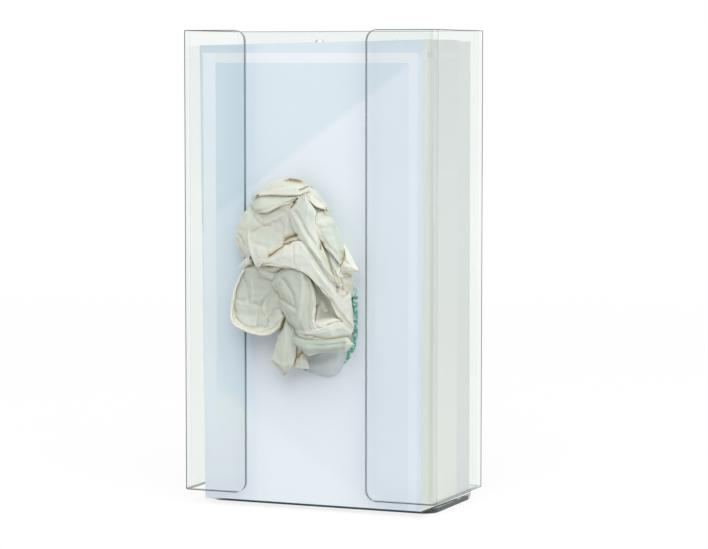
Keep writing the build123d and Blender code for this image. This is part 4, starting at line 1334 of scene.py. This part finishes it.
        # Directions spread evenly over a half ball around +Z, denser near its pole.
        directions = []
        for index in range(self.rays):
            height = math.sqrt((index + 0.5) / self.rays)
            turn = index * math.pi * (3.0 - math.sqrt(5.0))
            flat = math.sqrt(1.0 - height * height)
            directions.append(Vector((flat * math.cos(turn), flat * math.sin(turn), height)))
        reach = self.shut_in_reach * MM
        for piece in pieces:
            mesh = piece.data
            shut = mesh.attributes.new("shut_in", "FLOAT", "POINT")
            values = np.zeros(len(mesh.vertices))
            for index, vertex in enumerate(mesh.vertices):
                normal = vertex.normal
                # Film that looks to the back is never seen.
                if normal.y > 0.6:
                    continue
                turned = normal.to_track_quat("Z", "Y")
                # The rays start just off the film, so that they don't meet the face they leave.
                start = vertex.co + normal * 0.0002
                hits = 0.0
                for direction in directions:
                    found = tree.ray_cast(start, turned @ direction, reach)
                    if found[0] is not None:
                        hits += 1.0 - 0.6 * found[3] / reach
                values[index] = hits / self.rays
            shut.data.foreach_set("value", values.astype(np.float32))

    @staticmethod
    def pressed(
        grid: np.ndarray, near: np.ndarray, creases: tuple[Crease, ...]
    ) -> tuple[np.ndarray, np.ndarray, np.ndarray]:
        """Presses creases into a grid of film and raises its ridges, with painted shade for the creases and
        painted highlights for the ridges.

        Args:
            grid: rows by columns by 3 points in mm.
            near: how creamy each point is for lying near an edge, from 0 to 1.
            creases: the creases and ridges.

        Returns:
            The grid, how creamy each point is with the ridges' painted highlights, and how much painted shade
            each point has from the creases, from 0 to 1.
        """
        moved, fold_shade = grid.copy(), np.zeros(grid.shape[:2])
        flat = grid[..., (0, 2)]
        for crease in creases:
            path = np.array(crease.points, float)
            apart = np.full(grid.shape[:2], 1e9)
            for start, end in zip(path, path[1:]):
                along = end - start
                share = np.clip(((flat - start) @ along) / (along @ along), 0.0, 1.0)
                apart = np.minimum(apart, np.linalg.norm(flat - start - share[..., None] * along, axis=-1))
            strength = np.clip(1.0 - apart / crease.width, 0.0, 1.0) ** 1.5
            moved[..., 1] += crease.depth * strength
            # Creases take painted shade, and ridges a painted highlight in the edges' creamier colour.
            if crease.warmth > 0.0:
                fold_shade = np.maximum(fold_shade, crease.warmth * strength)
            else:
                near = np.maximum(near, -crease.warmth * strength)
        return moved, near, fold_shade

    def mesh(self, name: str, folds: tuple[Fold, ...], creases: tuple[Crease, ...] = ()) -> bpy.types.Mesh:
        """Builds one mesh of several folds, each with the film's thickness.

        Args:
            name: the mesh's name.
            folds: the folds.
            creases: creases and ridges pressed into them.

        Returns:
            The mesh, in metres.
        """
        points, faces, rims, warmth, sheer = [], [], [], [], []
        for number, fold in enumerate(folds):
            grid, near = self.finished(fold, 37.0 * number)
            grid, near, fold_shade = self.pressed(grid, near, creases)
            rows, columns = grid.shape[:2]
            rims += list(near.reshape(-1)) * 2
            warmth += list(fold_shade.reshape(-1)) * 2
            sheer += [fold.sheer] * (2 * rows * columns)
            front = len(points)
            points += list(grid.reshape(-1, 3))
            back = len(points)
            points += list((grid - self.normals(grid) * self.thickness).reshape(-1, 3))
            for row, column in np.ndindex(rows - 1, columns - 1):
                extent = np.ptp(grid[row : row + 2, column : column + 2].reshape(-1, 3), axis=0)
                if extent.max() < 1e-4:
                    continue
                a = row * columns + column
                corners = (a, a + columns, a + columns + 1, a + 1)
                faces.append(tuple(front + c for c in corners))
                faces.append(tuple(back + c for c in reversed(corners)))
            rim = list(range(columns))
            rim += [row * columns + columns - 1 for row in range(1, rows)]
            rim += [(rows - 1) * columns + column for column in range(columns - 2, -1, -1)]
            rim += [row * columns for row in range(rows - 2, 0, -1)]
            for here, there in zip(rim, rim[1:] + rim[:1]):
                faces.append((front + here, front + there, back + there, back + here))
        mesh = new_mesh(name, points, faces)
        for measure, values in (("rim", rims), ("warmth", warmth), ("sheer", sheer)):
            kept = mesh.attributes.new(measure, "FLOAT", "POINT")
            kept.data.foreach_set("value", np.array(values, np.float32))
        mesh.validate()
        mesh.update()
        return mesh


# --- Sub-assemblies -----------------------------------------------------------------------------


@dataclass
class DressedSolid:
    """A CAD solid that is shown as it is, in its own finish."""

    node: str
    finish: ClearPetg | PrintedBoard

    def build(self) -> None:
        """Dresses the solid."""
        material = self.finish.build()
        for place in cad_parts[self.node].material_slots:
            place.material = material
        LOG.info("%s: %s", self.node, material.name)


@dataclass
class TornOpening:
    """The ragged edge that the torn-out panel leaves around the carton's opening."""

    finish: TornBoard = TornBoard()
    centre: tuple[float, float] = (4.5, 103.3)
    width: float = 44.0
    height: float = 62.0
    ragged_mm: float = 1.3
    steps: int = 420
    # Below this height in mm the right side is torn worst, by this much more than elsewhere.
    torn_below: float = 130.0
    torn_more: float = 3.6

    def outline(self, place: float) -> tuple[Vector, Vector]:
        """Finds a place on the opening's edge.

        Args:
            place: how far round it is, from 0 at the right side, clockwise, to 1.

        Returns:
            The point (x, z) in mm and the direction away from the opening.
        """
        radius = self.width / 2
        half = self.height / 2 - radius
        arc = math.pi * radius
        # The second half of the way round is the first half turned about the centre.
        run = (place % 0.5) * 2 * (arc + 2 * half)
        if run < half:
            out = Vector((1.0, 0.0))
            offset = Vector((radius, -run))
        elif run < half + arc:
            angle = (run - half) / radius
            out = Vector((math.cos(angle), -math.sin(angle)))
            offset = Vector((0.0, -half)) + out * radius
        else:
            out = Vector((-1.0, 0.0))
            offset = Vector((-radius, run - 2 * half - arc))
        sign = 1.0 if place % 1.0 < 0.5 else -1.0
        return Vector(self.centre) + offset * sign, out * sign

    def build(self) -> None:
        """Builds the ragged rim: torn board that stands a little proud of the carton's face."""
        points = []
        for step in range(self.steps):
            point, out = self.outline(step / self.steps)
            away, inner, lift = (
                noise.noise(Vector((point.x, point.y, level)) * scale)
                for level, scale in ((0.0, 0.9), (31.0, 1.3), (57.0, 1.1))
            )
            right = min(max((out.x - 0.2) * 2.0, 0.0), 1.0)
            worst = right * min(max((self.torn_below - point.y) / 8.0, 0.0), 1.0)
            inward = 0.4 + (0.3 + self.torn_more * worst) * (0.75 + 0.6 * inner)
            outward = 0.4 * self.ragged_mm * abs(away)
            # A section through the rim: mm away from the opening, and mm off the carton's face.
            profile = (
                (-inward, -0.5),
                (-inward + 0.25, 0.1 + 0.4 * abs(lift)),
                (-0.4 * inward, 0.25 + 0.5 * abs(lift)),
                (0.10 + outward, 0.12),
                (0.15 + outward, -0.02),
            )
            for reach, rise in profile:
                spot = point + out * reach
                points.append((spot.x, CARTON_FACE - rise, spot.y))
        across = len(profile)
        faces = []
        for step in range(self.steps):
            here, after = step * across, (step + 1) % self.steps * across
            for column in range(across - 1):
                faces.append((here + column, here + column + 1, after + column + 1, after + column))
            faces.append((here, after, after + across - 1, here + across - 1))
        mesh = new_mesh("torn_opening_edge", points, faces)
        new_object("torn_opening_edge", mesh, self.finish.build())


@dataclass
class DrawnGlove:
    """The crumpled glove that hangs out of the carton."""

    finish: Latex = Latex()
    film: Film = Film()
    # Outlines of the film bunched behind the outer folds: mm in front of the carton, then (x, z).
    core: tuple = (
        (-3.0, ((-1, 144), (12, 141), (21, 126), (22, 106), (13, 90), (-4, 90), (-14, 112), (-13, 134))),
        (3.0, ((-2, 150), (13, 145), (23, 128), (23, 106), (14, 88), (-6, 90), (-17, 112), (-16, 138))),
        (8.0, ((-3, 167), (11, 157), (22, 138), (23, 114), (18, 96), (-4, 96), (-15, 118), (-24, 150))),
        (12.0, ((-3, 166), (9, 156), (19, 138), (20, 116), (14, 100), (-2, 100), (-10, 122), (-20, 150))),
        (15.0, ((2, 160), (8, 153), (14, 138), (14, 120), (9, 108), (2, 108), (-2, 124), (-4, 150))),
        (16.5, ((4, 152), (7, 148), (10, 138), (10, 124), (7, 114), (4, 114), (1, 126), (0, 146))),
    )
    # Faces between two points of an outline, and rows from the first outline to the last.
    stretch: int = 9
    rows: int = 30
    # How far apart its creases lie in mm, and the share of the way in that they draw the film.
    crease_mm: float = 7.0
    drawn_in: float = 0.08

    def core_mesh(self) -> bpy.types.Mesh:
        """Lofts the bunched film behind the outer folds, with deep random creases.

        Returns:
            The mesh, closed, in metres.
        """
        outlines = [[(x, CARTON_FACE - depth, z) for x, z in ring] for depth, ring in self.core]
        rings = np.array(outlines, float)
        around = self.stretch * rings.shape[1]
        closed = np.concatenate((rings[:, -2:], rings, rings[:, :3]), axis=1)
        weights = spline_weights(closed.shape[1], (closed.shape[1] - 1) * self.stretch + 1, 0.0)
        weights = weights[2 * self.stretch : 2 * self.stretch + around]
        grid = np.einsum("cj,rjk->rck", weights, closed)
        grid = np.einsum("ri,ijk->rjk", spline_weights(len(rings), self.rows, 0.0), grid)
        centre = grid.mean(axis=1)
        # Creases draw the film in towards its middle, and between them it bulges a little.
        for row, column in np.ndindex(self.rows, around):
            crease = abs(noise.noise(Vector(grid[row, column]) / self.crease_mm)) * 2.0 - 0.5
            grid[row, column] += (centre[row] - grid[row, column]) * self.drawn_in * crease
        faces = sleeve(self.rows, around, outward=True)
        last = (self.rows - 1) * around
        back, front = self.rows * around, self.rows * around + 1
        for column in range(around):
            right = (column + 1) % around
            faces.append((column, right, back))
            faces.append((last + right, last + column, front))
        return new_mesh("bunched_film", [*grid.reshape(-1, 3), centre[0], centre[-1]], faces)

    def build(self) -> None:
        """Builds the bunched film and its outer folds."""
        material = self.finish.build()
        layers = self.film.mesh("drawn_glove_folds", DRAWN_GLOVE_FOLDS, DRAWN_GLOVE_CREASES)
        folds = new_object("drawn_glove_folds", layers, material)
        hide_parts("drawn_glove")
        core = new_object("drawn_glove_core", self.core_mesh(), material)
        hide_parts("drawn_glove")
        self.film.measure_shut_in([folds, core])


@dataclass
class NextGlove:
    """The next glove, which waits in the carton's opening."""

    finish: Latex = Latex("latex_film_shaded", "D9E2DF", "CFDAD8", "DDE5E1")
    film: Film = Film()

    def build(self) -> None:
        """Builds the fold that shows in the opening."""
        mesh = self.film.mesh("next_glove_fold", NEXT_GLOVE_FOLDS)
        fold = new_object("next_glove_fold", mesh, self.finish.build())
        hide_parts("next_glove")


@dataclass
class GloveStack:
    """The gloves still in the carton, interfolded in layers."""

    finish: Latex = Latex("latex_film_stacked", "D5D9CC", "CACFC3")
    width: float = 116.0
    depth: float = 53.0
    layers: int = 9
    around: int = 96
    rings: int = 9
    # Power that rounds a layer's outline: 1 gives an ellipse, and 0 would give a rectangle.
    roundness: float = 0.35
    # How far its rounded edge draws a layer's top and underside in, in mm.
    eased: float = 5.0

    def layer(self, low: float, high: float, middle: float, seed: float) -> list[Point]:
        """Lays the points of one folded layer, a slack pad.

        Args:
            low: height of its underside in mm.
            high: height of its top in mm.
            middle: depth of the stack's middle in mm.
            seed: shifts its creases.

        Returns:
            Points in mm, ring by ring from its top.
        """
        points = []
        for ring in range(self.rings):
            turn = math.pi * ring / (self.rings - 1)
            inset = (1.0 - math.sin(turn) ** 0.6) * self.eased
            height = (low + high) / 2 + (high - low) / 2 * math.cos(turn)
            for step in range(self.around):
                angle = math.tau * step / self.around
                x, y = (
                    math.copysign(abs(part) ** self.roundness, part) * (side / 2 - inset)
                    for part, side in ((math.cos(angle), self.width), (math.sin(angle), self.depth))
                )
                slack = noise.noise(Vector((x / 12.0, y / 12.0 + seed, height / 6.0)))
                crease = noise.noise(Vector((x / 40.0 + seed, y / 40.0, height / 1.7)))
                shrink = 1.0 - 0.010 * abs(slack) - 0.012 * abs(crease)
                points.append((x * shrink, middle + y * shrink, height))
        return points

    def build(self) -> None:
        """Builds the stack in the place of its plain solid."""
        low, high = (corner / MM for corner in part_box("glove_stack"))
        middle = (low.y + high.y) / 2
        ends = [tuple(reversed(range(self.around)))]
        ends.append(tuple((self.rings - 1) * self.around + step for step in range(self.around)))
        pad = sleeve(self.rings, self.around, outward=False) + ends
        points, faces = [], []
        for number in range(self.layers):
            bottom, top = (low.z + (high.z - low.z) * n / self.layers for n in (number, number + 1))
            faces += [tuple(len(points) + v for v in face) for face in pad]
            points += self.layer(bottom, top, middle, 17.0 * number)
        mesh = new_mesh("glove_stack_layers", points, faces)
        stack = new_object("glove_stack_layers", mesh, self.finish.build())
        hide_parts("glove_stack")


@dataclass
class Studio:
    """Floor, room, lamps and camera."""

    # Strength of the room as a lamp, of its white as it is seen, and of its front as mirrored.
    room_light: float = 0.70
    seen_white: float = 1.0
    front_room: float = 0.60
    # The floor's own glow under the part and far from it, and its shade as lit and as seen.
    floor_emission: float = 0.84
    floor_far: float = 0.89
    floor_albedo: str = "C2C2C2"
    floor_seen: str = "707070"
    # Half the floor's side and its height, in metres.
    floor_reach: float = 4.0
    floor_height: float = -0.0002
    # Place in metres, angles in radians and lens in mm.
    camera_place: Point = (0.57257, -1.34127, 0.23525)
    camera_yaw: float = 0.396195
    camera_pitch: float = 0.0776545
    camera_roll: float = 0.000448
    camera_lens: float = 139.68
    # Soft boxes: name, place in metres, side in metres and watts. They look at the part's middle.
    lamps: tuple[tuple[str, Point, float, float], ...] = (
        ("key_box", (0.95, -2.35, 2.45), 3.0, 65.0),
        ("fill_box", (2.27, -0.83, 0.77), 1.6, 13.0),
    )
    aim: Point = (0.0, 0.0, 0.12)

    @staticmethod
    def looked_at(tree: Tree) -> tuple[Socket, Socket]:
        """Masks what the camera sees, straight or through the sheet, and what is mirrored.

        Args:
            tree: node tree that takes the nodes.

        Returns:
            The mask of what is seen and that of what is mirrored.
        """
        path = add(tree, "ShaderNodeLightPath").outputs
        seen = maths(tree, "MAXIMUM", path["Is Camera Ray"], path["Is Transmission Ray"])
        return seen, path["Is Glossy Ray"]

    def room(self) -> None:
        """Builds the white room: seen white behind the part, dim in front of it."""
        world = bpy.data.worlds.new("studio_room")
        bpy.context.scene.world = world
        world.use_nodes = True
        tree = world.node_tree
        tree.nodes.clear()
        seen, glossy = self.looked_at(tree)
        towards = add(tree, "ShaderNodeTexCoord").outputs["Generated"]
        y = add(tree, "ShaderNodeSeparateXYZ", {0: towards}).outputs["Y"]
        mirrored = spread(tree, y, -0.35, 0.25, self.front_room, self.seen_white, smooth=True)
        level = add(tree, "ShaderNodeMix", {0: glossy, 2: self.room_light, 3: mirrored}).outputs[0]
        level = add(tree, "ShaderNodeMix", {0: seen, 2: level, 3: self.seen_white}).outputs[0]
        shade = add(tree, "ShaderNodeBackground", {"Color": linear(WHITE), "Strength": level})
        add(tree, "ShaderNodeOutputWorld", {"Surface": shade.outputs[0]})

    def floor(self) -> None:
        """Lays the plain white floor, which keeps the part's soft shadow."""
        ways = ((-1, -1), (1, -1), (1, 1), (-1, 1))
        corners = [(x * self.floor_reach, y * self.floor_reach, self.floor_height) for x, y in ways]
        mesh = bpy.data.meshes.new("floor")
        mesh.from_pydata(corners, [], [(0, 1, 2, 3)])
        floor = bpy.data.objects.new("floor", mesh)
        bpy.context.scene.collection.objects.link(floor)
        material, tree = new_material("floor_white")
        looked_at, glossy = self.looked_at(tree)
        seen = maths(tree, "MAXIMUM", looked_at, glossy)
        place = add(tree, "ShaderNodeTexCoord").outputs["Object"]
        y = add(tree, "ShaderNodeSeparateXYZ", {0: place}).outputs["Y"]
        # The room in front of the part is dimmer, so sheet that faces it mirrors a dimmer floor too.
        behind = maths(tree, "MAXIMUM", spread(tree, y, -0.5, 0.0, self.front_room, 1.0), looked_at)
        # Lamp light thins out with distance, and the sweep's own white takes its place.
        away = add(tree, "ShaderNodeVectorMath", {0: place}, operation="LENGTH").outputs["Value"]
        glow = spread(tree, away, 0.6, 2.6, self.floor_emission, self.floor_far, smooth=True)
        glow = both(tree, glow, behind, seen)
        white = add(tree, "ShaderNodeEmission", {"Color": linear(WHITE), "Strength": glow})
        shade = laid_over(tree, self.floor_albedo, seen, self.floor_seen)
        lit = add(tree, "ShaderNodeBsdfDiffuse", {"Color": shade})
        whole = add(tree, "ShaderNodeAddShader", {0: white.outputs[0], 1: lit.outputs[0]})
        add(tree, "ShaderNodeOutputMaterial", {"Surface": whole.outputs[0]})
        mesh.materials.append(material)

    def light(self) -> None:
        """Adds the soft boxes."""
        for name, place, size, watts in self.lamps:
            light = bpy.data.lights.new(name, "AREA")
            light.shape = "SQUARE"
            light.size = size
            light.energy = watts
            lamp = bpy.data.objects.new(name, light)
            lamp.location = place
            aim = Vector(self.aim) - Vector(place)
            lamp.rotation_euler = aim.to_track_quat("-Z", "Y").to_euler()
            bpy.context.scene.collection.objects.link(lamp)

    def camera(self) -> None:
        """Sets the camera up."""
        yaw, pitch, roll = self.camera_yaw, self.camera_pitch, self.camera_roll
        ahead = Vector((-math.sin(yaw) * math.cos(pitch), math.cos(yaw) * math.cos(pitch), -math.sin(pitch)))
        right = Vector((math.cos(yaw), math.sin(yaw), 0.0))
        up = right.cross(ahead)
        rolled_right = right * math.cos(roll) + up * math.sin(roll)
        rolled_up = up * math.cos(roll) - right * math.sin(roll)
        matrix = Matrix((rolled_right, rolled_up, -ahead)).transposed().to_4x4()
        matrix.translation = Vector(self.camera_place)
        data = bpy.data.cameras.new("camera")
        data.lens = self.camera_lens
        data.sensor_width = 36.0
        data.clip_end = 50.0
        camera = bpy.data.objects.new("camera", data)
        camera.matrix_world = matrix
        bpy.context.scene.collection.objects.link(camera)
        bpy.context.scene.camera = camera

    def build(self) -> None:
        """Builds the whole set."""
        bpy.context.scene.view_settings.view_transform = "Standard"
        self.camera()
        self.room()
        self.floor()
        self.light()


def main() -> None:
    """Builds the dispenser piece by piece."""
    logging.basicConfig(level=logging.INFO, format="%(name)s %(message)s")
    pieces = (
        Studio(),
        DressedSolid("clear_holder", ClearPetg()),
        DressedSolid("glove_carton", PrintedBoard()),
        TornOpening(),
        DrawnGlove(),
        NextGlove(),
        GloveStack(),
    )
    for piece in pieces:
        piece.build()


if __name__ == "__main__":
    main()
